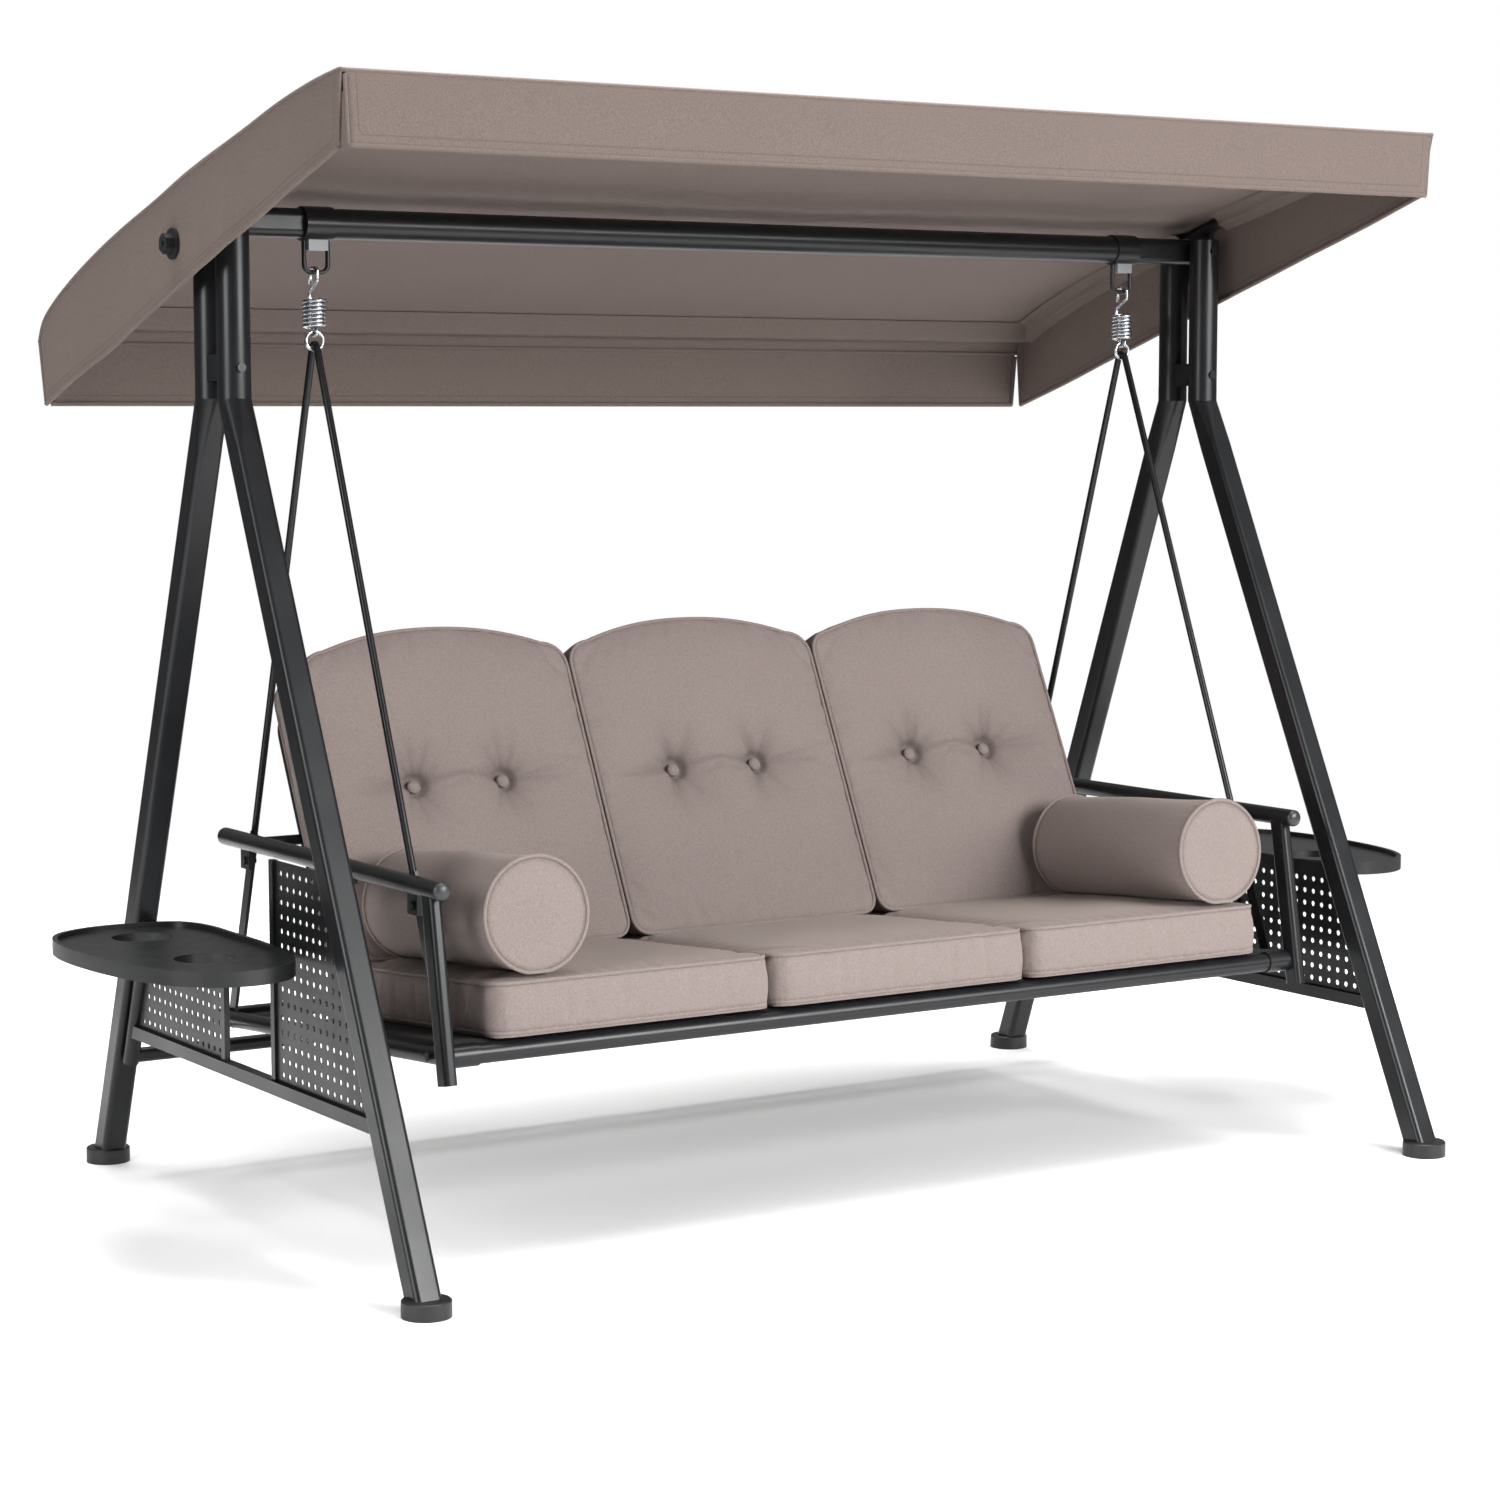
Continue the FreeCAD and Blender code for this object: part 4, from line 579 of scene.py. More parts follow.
# ------------------------------------------------------------------ cushions
@dataclass
class PadFrame:
    """A soft piece's own axes in the row frame: across, along and out of its face."""

    across: Array
    along: Array
    out: Array
    origin: Array

    @classmethod
    def tilted(cls, angle: float) -> "PadFrame":
        """Axes at the row frame's origin, with their length raised from level by an angle."""
        across, along = np.array([1.0, 0, 0]), np.array([0, math.cos(angle), math.sin(angle)])
        return cls(across, along, np.cross(across, along), np.zeros(3))

    def ends(self, node: str) -> list[tuple[float, float]]:
        """How far a CAD node reaches each way, across, along and out."""
        return [(-reach(node, -axis), reach(node, axis))
                for axis in (self.across, self.along, self.out)]

    def place(self, local: Array) -> Array:
        """Turns local places into the row frame: origin + x across + y along + z out."""
        return (self.origin + local[..., :1] * self.across + local[..., 1:2] * self.along
                + local[..., 2:3] * self.out)

    def local(self, world: Array) -> Array:
        """Turns row-frame places into local ones."""
        away = world - self.origin
        return np.stack([away @ self.across, away @ self.along, away @ self.out], -1)


def reach(node: str, direction: Array) -> float:
    """How far a CAD node reaches along a direction.

    Args:
        node: the node's name.
        direction: a unit vector.

    Returns:
        The largest dot product of its points with the direction.
    """
    return float((read_points(frame["nodes"][node].data) @ direction).max())


def rounded_outline(half_wide: float, low: float, side_high: float, mid_high: float,
                    round_low: float, round_high: float, count: int) -> Array:
    """Outline of a cushion's face: straight sides, an arched top and rounded corners.

    The top follows z = side + (mid - side)(1 - |x / half|^2.2). Corners are arcs of the given
    radii, and the points run anticlockwise from the lower left.

    Args:
        half_wide: half of its width.
        low: height of the lower edge.
        side_high: height of the top edge at the sides.
        mid_high: height of the top edge in the middle.
        round_low: radius of the lower corners.
        round_high: radius of the upper corners.
        count: points in the closed loop.

    Returns:
        count by 2 points.
    """
    turn = np.linspace(0, math.pi / 2, 9)
    left_low = np.stack([-half_wide + round_low - round_low * np.cos(turn),
                         low + round_low - round_low * np.sin(turn)], -1)
    right_low = np.stack([half_wide - round_low + round_low * np.sin(turn),
                          low + round_low - round_low * np.cos(turn)], -1)
    right_high = np.stack([half_wide - round_high + round_high * np.cos(turn),
                           side_high - round_high + round_high * np.sin(turn)], -1)
    x = np.linspace(half_wide - round_high, -half_wide + round_high, 25)[1:-1]
    crest = np.stack([x, side_high + (mid_high - side_high)
                      * (1 - np.abs(x / (half_wide - round_high)) ** 2.2)], -1)
    left_high = right_high[::-1] * np.array([-1.0, 1.0])
    loop = np.vstack([left_low, right_low, right_high, crest, left_high])
    return resample(loop, count, True)


@dataclass
class Tuft:
    """A button's pull in a cushion face, with creases that run out of it."""

    x: float
    y: float
    depth: float = 0.014
    spread: float = 0.034
    creases: tuple[tuple[float, float, float], ...] = ()


@dataclass
class BoxedCushion:
    """A foam cushion: two crowned panels sewn to a side band, with piping along both seams."""

    name: str
    frame: PadFrame
    outline: Array
    thick: float
    crown: float
    flat_back: bool = False
    lean: float = 0.0
    voxel: float = 0.007
    cap: float = 0.016
    piping: float = 0.0033
    inset: float = 0.0020
    tufts: list[Tuft] = field(default_factory=list)
    seed: float = 0.0
    low_seam: float = 0.0
    rest: float = 0.0008

    def shell(self) -> tuple[Array, list[list[int]]]:
        """Rings from the middle of the back panel, over the band, to the middle of the face.

        Ring k is the outline shrunk to a share s_k about its centre, at a height h_k. The face's
        height falls with s as 1 - s^4, so the panel is crowned and its rim stays straight.

        Returns:
            Local points of the rings, and the faces that join and close them.
        """
        centre = (self.outline.min(0) + self.outline.max(0)) / 2
        share = np.sin(np.linspace(0.06, math.pi / 2, 16))
        face = self.thick + self.crown * (1 - share ** 4)
        back = -(0.2 if self.flat_back else 1.0) * self.crown * (1 - share ** 4)
        band = np.linspace(0, self.thick, 8)[1:-1]
        swell = 1 + 0.006 * np.sin(np.linspace(0, math.pi, 8)[1:-1])
        size = np.concatenate([share, swell, share[::-1]])
        high = np.concatenate([back, band, face[::-1]])
        flat = centre + (self.outline - centre)[None, :, :] * size[:, None, None]
        high = np.broadcast_to(high[:, None, None], flat.shape[:2] + (1,))
        rings = np.concatenate([flat, high], -1)
        return rings.reshape(-1, 3), capped_faces(len(size), len(self.outline))

    def skewed(self, local: Array) -> Array:
        """Slants the foot of the cushion: y grows by lean times the depth behind the face."""
        if not self.lean:
            return local
        low, high = self.outline[:, 1].min(), self.outline[:, 1].max()
        fade = np.clip(1 - (local[:, 1] - low) / (0.6 * (high - low)), 0, 1)
        moved = local.copy()
        moved[:, 1] += self.lean * np.clip(self.thick - local[:, 2], 0, self.thick) * fade
        return moved

    def build(self, shelf: FinishShelf, body: str, node: str) -> bpy.types.Object:
        """Makes the stuffed pad and its piping.

        Args:
            shelf: the finishes.
            body: the CAD body it rides on.
            node: the CAD node it stands for.

        Returns:
            The pad.
        """
        points, faces = self.shell()
        pad = make_mesh(self.name, points, faces)
        face_out(pad)
        remesh(pad, self.voxel)
        self.inflate(pad)
        subdivide(pad, 1)
        local = read_points(pad.data)
        normals = read_normals(pad.data)
        rise, fold = self.surface_detail(local, normals)
        # Painted shade: the pad's colour darkens in the groove by each seam and in the creases and
        # button rings, by how deep they lie.
        shade = np.exp(-(self.seam_gap(local)[0] / 0.0042) ** 2)
        set_value(pad, "seam", np.maximum(shade, np.clip(fold / 0.017, 0, 0.45)))
        local += normals * rise[:, None]
        local[:, 2] = np.maximum(local[:, 2], self.rest)
        local = self.skewed(local)
        write_points(pad.data, local)
        face_uv(pad.data)
        write_points(pad.data, self.frame.place(local))
        face_out(pad)
        shade_smooth(pad)
        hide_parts(node)
        shelf.fit(pad, CUSHION_CLOTH, body)
        self.pipe(shelf, body)
        return pad

    def inflate(self, pad: bpy.types.Object) -> None:
        """Blows the pad up as cloth, with both seams held, and caps how far it moves.

        Args:
            pad: the remeshed object, changed in place.
        """
        before = read_points(pad.data)
        loop = resample(self.outline, 720, True)
        near = np.min(np.linalg.norm(before[:, None, :2] - loop[None, ::6, :], axis=2), 1)
        at_seam = np.minimum(np.abs(before[:, 2]), np.abs(before[:, 2] - self.thick))
        held = (near < self.voxel * 1.1) & (at_seam < self.voxel * 0.9)
        for t in self.tufts:
            away = np.hypot(before[:, 0] - t.x, before[:, 1] - t.y)
            pull = np.exp(-(away / t.spread) ** 1.5) * (before[:, 2] > self.thick / 2)
            before[:, 2] -= t.depth * pull
            held |= (away < 0.009) & (before[:, 2] > self.thick / 2)
        write_points(pad.data, before)
        group = pad.vertex_groups.new(name="seams")
        group.add(np.nonzero(held)[0].tolist(), 1.0, "REPLACE")
        cloth = pad.modifiers.new("stuffing", "CLOTH")
        cloth.settings.quality = 5
        cloth.settings.mass = 0.3
        cloth.settings.tension_stiffness = 12
        cloth.settings.compression_stiffness = 12
        cloth.settings.shear_stiffness = 4
        cloth.settings.bending_stiffness = 1.0
        cloth.settings.shrink_min = -0.015
        cloth.settings.use_pressure = True
        cloth.settings.uniform_pressure_force = 4.0
        cloth.settings.effector_weights.gravity = 0.0
        cloth.settings.vertex_group_mass = "seams"
        cloth.settings.pin_stiffness = 1.0
        scene = bpy.context.scene
        for number in range(1, 21):
            scene.frame_set(number)
        seen = pad.evaluated_get(bpy.context.evaluated_depsgraph_get())
        after = read_points(seen.data)
        pad.modifiers.remove(cloth)
        pad.vertex_groups.clear()
        scene.frame_set(1)
        move = after - before
        far = np.linalg.norm(move, axis=1, keepdims=True)
        limit = self.cap * (0.3 if self.flat_back else 1.0) * np.ones_like(far)
        limit[before[:, 2] > self.thick * 0.3] = self.cap
        soft = limit * np.tanh(far / limit)
        write_points(pad.data, before + move * soft / np.maximum(far, 1e-9))
        LOG.info("%s: cloth moved up to %.1f mm", self.name, far.max() * 1000)

    def surface_detail(self, local: Array, normals: Array) -> tuple[Array, Array]:
        """Relief added after the stuffing: button pulls, their creases, and puckers by the seams.

        A crease is a groove exp(-(d / width)^2) along a ray, faded at both ends. A pucker is a
        sine along the seam that fades with the distance from it.

        Args:
            local: N by 3 local places.
            normals: N by 3 local normals.

        Returns:
            How far each point moves along its normal, and how deep in a fold it lies.
        """
        rise, fold = np.zeros(len(local)), np.zeros(len(local))
        facing = np.clip(normals[:, 2], 0, 1) ** 2
        for t in self.tufts:
            dx, dy = local[:, 0] - t.x, local[:, 1] - t.y
            away = np.hypot(dx, dy)
            rise -= facing * (0.25 * t.depth * np.exp(-(away / 0.016) ** 2)
                              + 0.006 * np.exp(-(away / 0.075) ** 2))
            ring = np.exp(-((away - 0.0135) / 0.0045) ** 2)
            fold += facing * 0.0045 * ring
            for angle, length, depth in t.creases:
                c, s = math.cos(math.radians(angle)), math.sin(math.radians(angle))
                run, off = dx * c + dy * s, -dx * s + dy * c
                bend = off - 0.10 * run ** 2 / max(length, 1e-3)
                fade = np.clip(run / 0.010, 0, 1) * np.clip(1 - run / length, 0, 1)
                wide = 0.0050 + 0.050 * np.clip(run, 0, None)
                fold += facing * 1.35 * depth * fade * np.exp(-np.abs(bend) / wide)
        if len(self.tufts) == 2:
            fold += facing * self.joining_crease(local)
        rise -= fold
        edge, run = self.seam_gap(local)
        wave = (np.sin(run * 2 * math.pi / 0.047 + self.seed)
                * np.sin(run * 2 * math.pi / 0.173 + 2 * self.seed))
        rise += 0.0011 * wave * np.exp(-edge / 0.022) * (edge > 0.004)
        broad = (np.sin(local[:, 0] * 17 + self.seed) * np.sin(local[:, 1] * 13 + 1.7 * self.seed)
                 + 0.6 * np.sin(local[:, 0] * 31 - local[:, 1] * 23 + self.seed))
        inside = np.clip(edge / 0.08, 0, 1)
        rise -= 0.0012 * np.exp(-(edge / 0.007) ** 2)
        return rise + 0.0015 * broad * inside, fold

    def seam_gap(self, local: Array) -> tuple[Array, Array]:
        """Measures each point's distance to the nearer seam, and how far along the seam that is.

        Args:
            local: N by 3 local places.

        Returns:
            The distances and the runs, in metres.
        """
        loop = resample(self.outline, 240, True)
        gap = np.linalg.norm(local[:, None, :2] - loop[None, :, :], axis=2)
        level = np.minimum(np.abs(local[:, 2] - self.thick), np.abs(local[:, 2] - self.low_seam))
        length = float(np.linalg.norm(np.diff(loop, axis=0), axis=1).sum())
        return np.hypot(gap.min(1), level), gap.argmin(1) / len(loop) * length

    def joining_crease(self, local: Array) -> Array:
        """Depth of the fold that joins the two buttons: a shallow arch, fading in the middle.

        Args:
            local: N by 3 local places.

        Returns:
            How deep the fold is at each point.
        """
        first, second = self.tufts
        half = (second.x - first.x) / 2
        share = (local[:, 0] - (first.x + second.x) / 2) / half
        arch = first.y + 0.009 * (1 - share ** 2)
        inside = np.clip((1 - np.abs(share)) / 0.12, 0, 1)
        depth = 0.0062 + 0.0040 * share ** 2
        away = np.abs(local[:, 1] - arch)
        return inside * depth * np.exp(-away / 0.0055)

    def pipe(self, shelf: FinishShelf, body: str) -> None:
        """Sews a round cord of cloth along each seam.

        Args:
            shelf: the finishes.
            body: the CAD body it rides on.
        """
        loop = resample(self.outline, 300, True)
        centre = (loop.min(0) + loop.max(0)) / 2
        cords = []
        back = self.low_seam if self.low_seam else self.rest + self.piping
        for high, label in ((self.thick - 0.0014, "face"), (back, "back")):
            flat = centre + (loop - centre) * (1 - self.inset / (loop[:, 0].max() - centre[0]))
            path = np.concatenate([flat, np.full((len(flat), 1), high)], -1)
            path = self.frame.place(self.skewed(path))
            cords.append(make_tube(self.name + "_" + label, path, self.piping, 8, True,
                                   tuple(self.frame.out)))
        cord = joined(self.name + "_piping", cords)
        shelf.fit(cord, CUSHION_CLOTH, body)


def remesh(piece: bpy.types.Object, voxel: float) -> None:
    """Rebuilds a closed mesh as even quads of one size.

    Args:
        piece: the mesh object.
        voxel: the quads' size in metres.
    """
    tool = piece.modifiers.new("even", "REMESH")
    tool.mode = "VOXEL"
    tool.voxel_size = voxel
    tool.use_smooth_shade = True
    bake(piece)


def subdivide(piece: bpy.types.Object, levels: int) -> None:
    """Splits and rounds a mesh, and keeps the result.

    Args:
        piece: the mesh object.
        levels: how many times each face is split.
    """
    tool = piece.modifiers.new("round", "SUBSURF")
    tool.levels = tool.render_levels = levels
    bake(piece)


def bake(piece: bpy.types.Object) -> None:
    """Replaces a piece's mesh by what its modifiers make of it.

    Args:
        piece: the mesh object.
    """
    seen = piece.evaluated_get(bpy.context.evaluated_depsgraph_get())
    mesh = bpy.data.meshes.new_from_object(seen)
    piece.modifiers.clear()
    old, piece.data = piece.data, mesh
    mesh.name = piece.name
    bpy.data.meshes.remove(old)


def thicken(sheet: bpy.types.Object, thick: float, offset: float) -> None:
    """Gives a sheet its thickness.

    Args:
        sheet: the mesh object.
        thick: how thick the cloth is, in metres.
        offset: -1 inwards, 0 both ways.
    """
    wall = sheet.modifiers.new("cloth", "SOLIDIFY")
    wall.thickness = thick
    wall.offset = offset


def read_normals(mesh: bpy.types.Mesh) -> Array:
    """Gives the normal at each of a mesh's points."""
    flat = np.empty(len(mesh.vertices) * 3, np.float32)
    mesh.vertex_normals.foreach_get("vector", flat)
    return flat.reshape(-1, 3).astype(float)


def set_value(piece: bpy.types.Object, name: str, values: Array) -> None:
    """Stores one number for each of a piece's points, for its material to read.

    Args:
        piece: the mesh object.
        name: the attribute's name.
        values: one value for each point.
    """
    layer = piece.data.attributes.new(name, "FLOAT", "POINT")
    layer.data.foreach_set("value", np.asarray(values, np.float32))


def shade_smooth(piece: bpy.types.Object) -> None:
    """Shades every face of a piece smooth."""
    piece.data.polygons.foreach_set("use_smooth", np.full(len(piece.data.polygons), True))
    piece.data.update()


def face_uv(mesh: bpy.types.Mesh) -> None:
    """Lays cloth flat on each face: the two local axes that the face looks away from least.

    Args:
        mesh: a mesh in its local axes, in metres.
    """
    count = len(mesh.loops)
    corners = np.empty(count, int)
    mesh.loops.foreach_get("vertex_index", corners)
    normals = np.empty(len(mesh.polygons) * 3, np.float32)
    mesh.polygons.foreach_get("normal", normals)
    sizes = np.empty(len(mesh.polygons), int)
    mesh.polygons.foreach_get("loop_total", sizes)
    main = np.repeat(np.abs(normals.reshape(-1, 3)).argmax(1), sizes)
    at = read_points(mesh)[corners]
    pair = np.array([[1, 2], [0, 2], [0, 1]])[main]
    uv = np.take_along_axis(at, pair, 1)
    layer = mesh.uv_layers.new(name="cloth")
    layer.data.foreach_set("uv", uv.astype(np.float32).ravel())


@dataclass
class Seating:
    """The three seat cushions, three back cushions, their buttons and the two bolsters."""

    tilt: float = math.radians(4.5)
    recline: float = math.radians(26.0)
    half_wide: float = 0.2575
    arch: float = 0.039
    button_span: float = 0.172
    button_high: float = 0.312
    button_dia: float = 0.024

    def seat_frame(self, node: str) -> tuple[PadFrame, float, float]:
        """Axes of a seat cushion from its CAD solid.

        Args:
            node: the CAD node.

        Returns:
            Its frame (origin at the middle of the underside), its depth and its height.
        """
        made = PadFrame.tilted(-self.tilt)
        (left, right), (near, far), (low, high) = made.ends(node)
        made.origin = (made.across * (left + right) / 2 + made.along * (near + far) / 2
                       + made.out * low)
        return made, far - near, high - low

    def back_frame(self, node: str) -> tuple[PadFrame, float, float]:
        """Axes of a back cushion from its CAD solid.

        Args:
            node: the CAD node.

        Returns:
            Its frame (origin on the back panel at the foot of the face), its height and thickness.
        """
        made = PadFrame.tilted(math.pi / 2 - self.recline)
        (left, right), (_, top), (back, face) = made.ends(node)
        points = read_points(frame["nodes"][node].data)
        front = points[points @ made.out > face - 0.03]
        foot = float((front @ made.along).min())
        made.origin = made.across * (left + right) / 2 + made.along * foot + made.out * back
        return made, top - foot, face - back

    def build(self, shelf: FinishShelf) -> None:
        """Makes every cushion of the seat.

        Args:
            shelf: the finishes.
        """
        buttons = []
        for k, side in enumerate(("left", "middle", "right")):
            node = side + "_seat_cushion"
            place, depth, high = self.seat_frame(node)
            outline = rounded_outline(self.half_wide, -depth / 2 + 0.002, depth / 2 - 0.002,
                                      depth / 2 - 0.002, 0.032, 0.032, 200)
            place.origin = place.origin - place.out * 0.002
            BoxedCushion(node + "_pad", place, outline, high - 0.007, 0.004, True, cap=0.007,
                         seed=1.3 + k, low_seam=0.010, rest=0.0028).build(shelf, "seat", node)
            node = side + "_back_cushion"
            place, high, thick = self.back_frame(node)
            low = 0.004
            outline = rounded_outline(self.half_wide, low, high - self.arch, high - 0.003,
                                      0.030, 0.044, 220)
            tufts = self.tufts(k)
            pad = BoxedCushion(node + "_pad", place, outline, thick - 0.014, 0.004, False,
                               lean=0.39, cap=0.014, tufts=tufts, seed=4.1 + 2 * k)
            made = pad.build(shelf, "seat", node)
            buttons += self.buttons(made, pad, side)
        whole = joined("covered_buttons", buttons)
        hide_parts("cushion_buttons")
        shelf.fit(whole, CUSHION_CLOTH, "seat")
        for side in Side:
            self.bolster(shelf, side)

    def tufts(self, k: int) -> list[Tuft]:
        """Button pulls of one back cushion, with creases at uneven angles.

        Args:
            k: which cushion, from the left.

        Returns:
            Its two tufts.
        """
        swing = (0.0, 7.0, -5.0)[k]
        found = []
        for way in (-1, 1):
            inner = 2.0 if way < 0 else 178.0
            outer = 180.0 - inner
            found.append(Tuft(way * self.button_span / 2, self.button_high, creases=(
                (outer, 0.130 + 0.01 * way, 0.0068), (outer + 24 * way, 0.060, 0.0040),
                (38 + swing, 0.070, 0.0050), (66 - swing, 0.095, 0.0070),
                (93 + swing, 0.100, 0.0070), (121 - swing, 0.090, 0.0064),
                (147 + swing, 0.065, 0.0046), (-40 + swing, 0.060, 0.0044),
                (-68 + swing, 0.085, 0.0060), (-96 - swing, 0.090, 0.0060),
                (-124 + swing, 0.080, 0.0054), (inner - 26 * way, 0.055, 0.0036))))
        return found

    def buttons(self, pad: bpy.types.Object, cushion: BoxedCushion,
                side: str) -> list[bpy.types.Object]:
        """Makes a cushion's two covered buttons, seated in its pulls.

        A button is a dome: radius R sin(t), height H cos(t), with a turned-in rim.

        Args:
            pad: the finished pad in the row frame.
            cushion: the cushion's sizes.
            side: which cushion.

        Returns:
            The button objects.
        """
        local = cushion.frame.local(read_points(pad.data))
        made = []
        for n, t in enumerate(cushion.tufts):
            away = np.hypot(local[:, 0] - t.x, local[:, 1] - t.y)
            top = local[(away < 0.012) & (local[:, 2] > cushion.thick / 2), 2]
            level = float(top.mean()) + 0.0015
            arc = np.linspace(0.05, 1.0, 9)
            radius = self.button_dia / 2 * np.concatenate([np.sin(arc * math.pi / 2), [0.98, 0.86]])
            high = np.concatenate([0.0062 * np.cos(arc * math.pi / 2) + 0.001, [-0.001, -0.004]])
            turn = np.linspace(0, 2 * math.pi, 28, endpoint=False)
            ring = np.stack([radius[:, None] * np.cos(turn), radius[:, None] * np.sin(turn),
                             np.broadcast_to(high[:, None], (len(high), 28))], -1)
            ring = ring + np.array([t.x, t.y, level])
            points = cushion.frame.place(ring.reshape(-1, 3))
            button = make_mesh("%s_button_%d" % (side, n), points, capped_faces(len(high), 28),
                               uv=ring.reshape(-1, 3)[:, :2])
            face_out(button)
            made.append(button)
        return made

    def bolster(self, shelf: FinishShelf, side: Side) -> None:
        """Makes one bolster: a stuffed roll with piped, slightly domed ends.

        The roll's radius is R (1 - 0.02 |2s|^6) with lengthwise puckers by the ends. Its foot is
        pressed flat where it rests on the seat.

        Args:
            shelf: the finishes.
            side: which side it lies on.
        """
        node = side.word + "_bolster"
        place = PadFrame.tilted(-self.tilt)
        ends = place.ends(node)
        big, half = ((high - low) / 2 for low, high in ends[:2])
        place.origin = sum(axis * (low + high) / 2 for axis, (low, high) in
                           zip((place.across, place.along, place.out), ends))
        turn = np.linspace(0, 2 * math.pi, 144, endpoint=False)
        disc = np.sin(np.linspace(0.03, math.pi / 2, 14))
        body = np.linspace(-1, 1, 61)[1:-1]
        rim = half - 0.004
        y = np.concatenate([-rim - 0.003 * (1 - disc ** 3), body * rim,
                            (rim + 0.003 * (1 - disc ** 3))[::-1]])
        swell = 1 + 0.004 - 0.012 * np.abs(body) ** 8
        r = np.concatenate([disc, swell, disc[::-1]]) * (big - 0.002)
        near_end = np.exp(-(rim - np.abs(np.clip(y, -rim, rim))) / 0.020)
        on_body = np.concatenate([np.zeros(len(disc)), np.ones(len(body)), np.zeros(len(disc))])
        gather = (np.sin(turn * 23 + 0.6) * np.sin(turn * 7 + 1.1))[None, :]
        long_wave = np.sin(turn * 5 + 0.4)[None, :] * np.sin(y * 22 + 0.8)[:, None]
        disc_gather = (0.0008 * gather * (1 - on_body)[:, None]
                       * np.concatenate([disc, 0 * body, disc[::-1]])[:, None] ** 6)
        radius = (r[:, None] + 0.0012 * gather * (near_end * on_body)[:, None]
                  + 0.0010 * long_wave * on_body[:, None])
        x = radius * np.cos(turn)
        z = radius * np.sin(turn)
        floor = -big + 0.0015
        z = np.where(z < floor + 0.006, floor + 0.006 * np.exp((z - floor - 0.006) / 0.006), z)
        points = np.stack([x, y[:, None] + disc_gather * np.sign(y)[:, None], z], -1)
        run = distance_along(np.stack([y, r], -1))
        uv = np.stack(np.broadcast_arrays(run[:, None], turn * big), -1).reshape(-1, 2)
        roll = make_mesh(node + "_roll", place.place(points.reshape(-1, 3)),
                         capped_faces(len(y), len(turn)), uv=uv)
        face_out(roll)
        shade_smooth(roll)
        # Painted shade: the roll's colour darkens in the groove beside each piped end.
        off_rim = np.hypot(np.abs(points[..., 1]) - rim, np.hypot(x, z) - (big - 0.0015))
        set_value(roll, "seam", np.exp(-(off_rim.ravel() / 0.0058) ** 2))
        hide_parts(node)
        shelf.fit(roll, CUSHION_CLOTH, "seat")
        cords = []
        for way in (-1, 1):
            ring = np.stack([(big - 0.0015) * np.cos(turn), np.full_like(turn, way * rim),
                             np.maximum((big - 0.0015) * np.sin(turn), floor + 0.002)], -1)
            cords.append(make_tube("%s_cord_%d" % (node, way), place.place(ring), 0.0032, 8, True,
                                   tuple(place.along)))
        shelf.fit(joined(node + "_piping", cords), CUSHION_CLOTH, "seat")


# ------------------------------------------------------------------ webs under the cushions
@dataclass
class Slings:
    """The mesh cloth stretched over the seat tubes and over the back tube."""

    sag: float = 0.0015
    thick: float = 0.0014
    turn_down: float = 0.009
    edge: float = 0.008

    def build(self, shelf: FinishShelf) -> None:
        """Makes the sling over the seat tubes and the one over the back tube.

        Args:
            shelf: the finishes.
        """
        self.sling(shelf, "seat_web", math.radians(-4.5))
        self.sling(shelf, "back_web", math.radians(64.0))

    def spaced(self, low: float, high: float) -> Array:
        """Places across a sling: close together where it turns down at an edge."""
        close = self.edge * np.linspace(0, 2.5, 9)
        return np.concatenate([low + close, np.linspace(low + 0.03, high - 0.03, 50),
                               (high - close)[::-1]])

    def sling(self, shelf: FinishShelf, node: str, tilt: float) -> None:
        """Makes one sling: flat, with a slow sag sin(pi u) sin(pi v), turned down over its tubes.

        The turned edge falls by turn_down * exp(-(distance to the edge / edge)^2).

        Args:
            shelf: the finishes.
            node: the CAD node it stands for.
            tilt: how far its length rises from level, in radians.
        """
        place = PadFrame.tilted(tilt)
        (left, right), (low, high), (_, top) = place.ends(node)
        x, y = np.meshgrid(self.spaced(left, right), self.spaced(low, high), indexing="ij")
        u, v = (x - left) / (right - left), (y - low) / (high - low)
        drop = self.sag * np.sin(math.pi * u) ** 0.7 * np.sin(math.pi * v) ** 0.7
        near = np.minimum(np.minimum(x - left, right - x), np.minimum(y - low, high - y))
        z = top - self.thick / 2 - drop - self.turn_down * np.exp(-(near / self.edge) ** 2)
        points = place.place(np.stack([x, y, z], -1)).reshape(-1, 3)
        uv = np.stack([x, y], -1).reshape(-1, 2)
        sheet = make_mesh(node + "_sling", points, grid_faces(*x.shape), uv=uv)
        thicken(sheet, self.thick, 0)
        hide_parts(node)
        shelf.fit(sheet, WEB_CLOTH, "seat")


# ------------------------------------------------------------------ canopy
@dataclass(frozen=True)
class EndDrop:
    """The part of the canopy sheet that hangs at the front or the rear."""

    name: str
    hem: float
    inwards: int
    depth: float
    spread: float
    size: tuple[float, float]
    wave: tuple[float, float, float]

    def ripple(self, u: Array) -> Array:
        """How far in the hem ripples at a share u of the width: |a sin(pu + q) + b sin(ru)|."""
        return np.abs(self.size[0] * np.sin(u * self.wave[0] + self.wave[1])
                      + self.size[1] * np.sin(u * self.wave[2]))


FRONT_DROP = EndDrop("front", 1.704, 1, 0.10, 0.005, (0.0035, 0.0018), (7.3, 0.7, 17.1))
REAR_DROP = EndDrop("rear", 1.336, -1, 0.11, 0.012, (0.0030, 0.0015), (6.1, 2.2, 15.0))


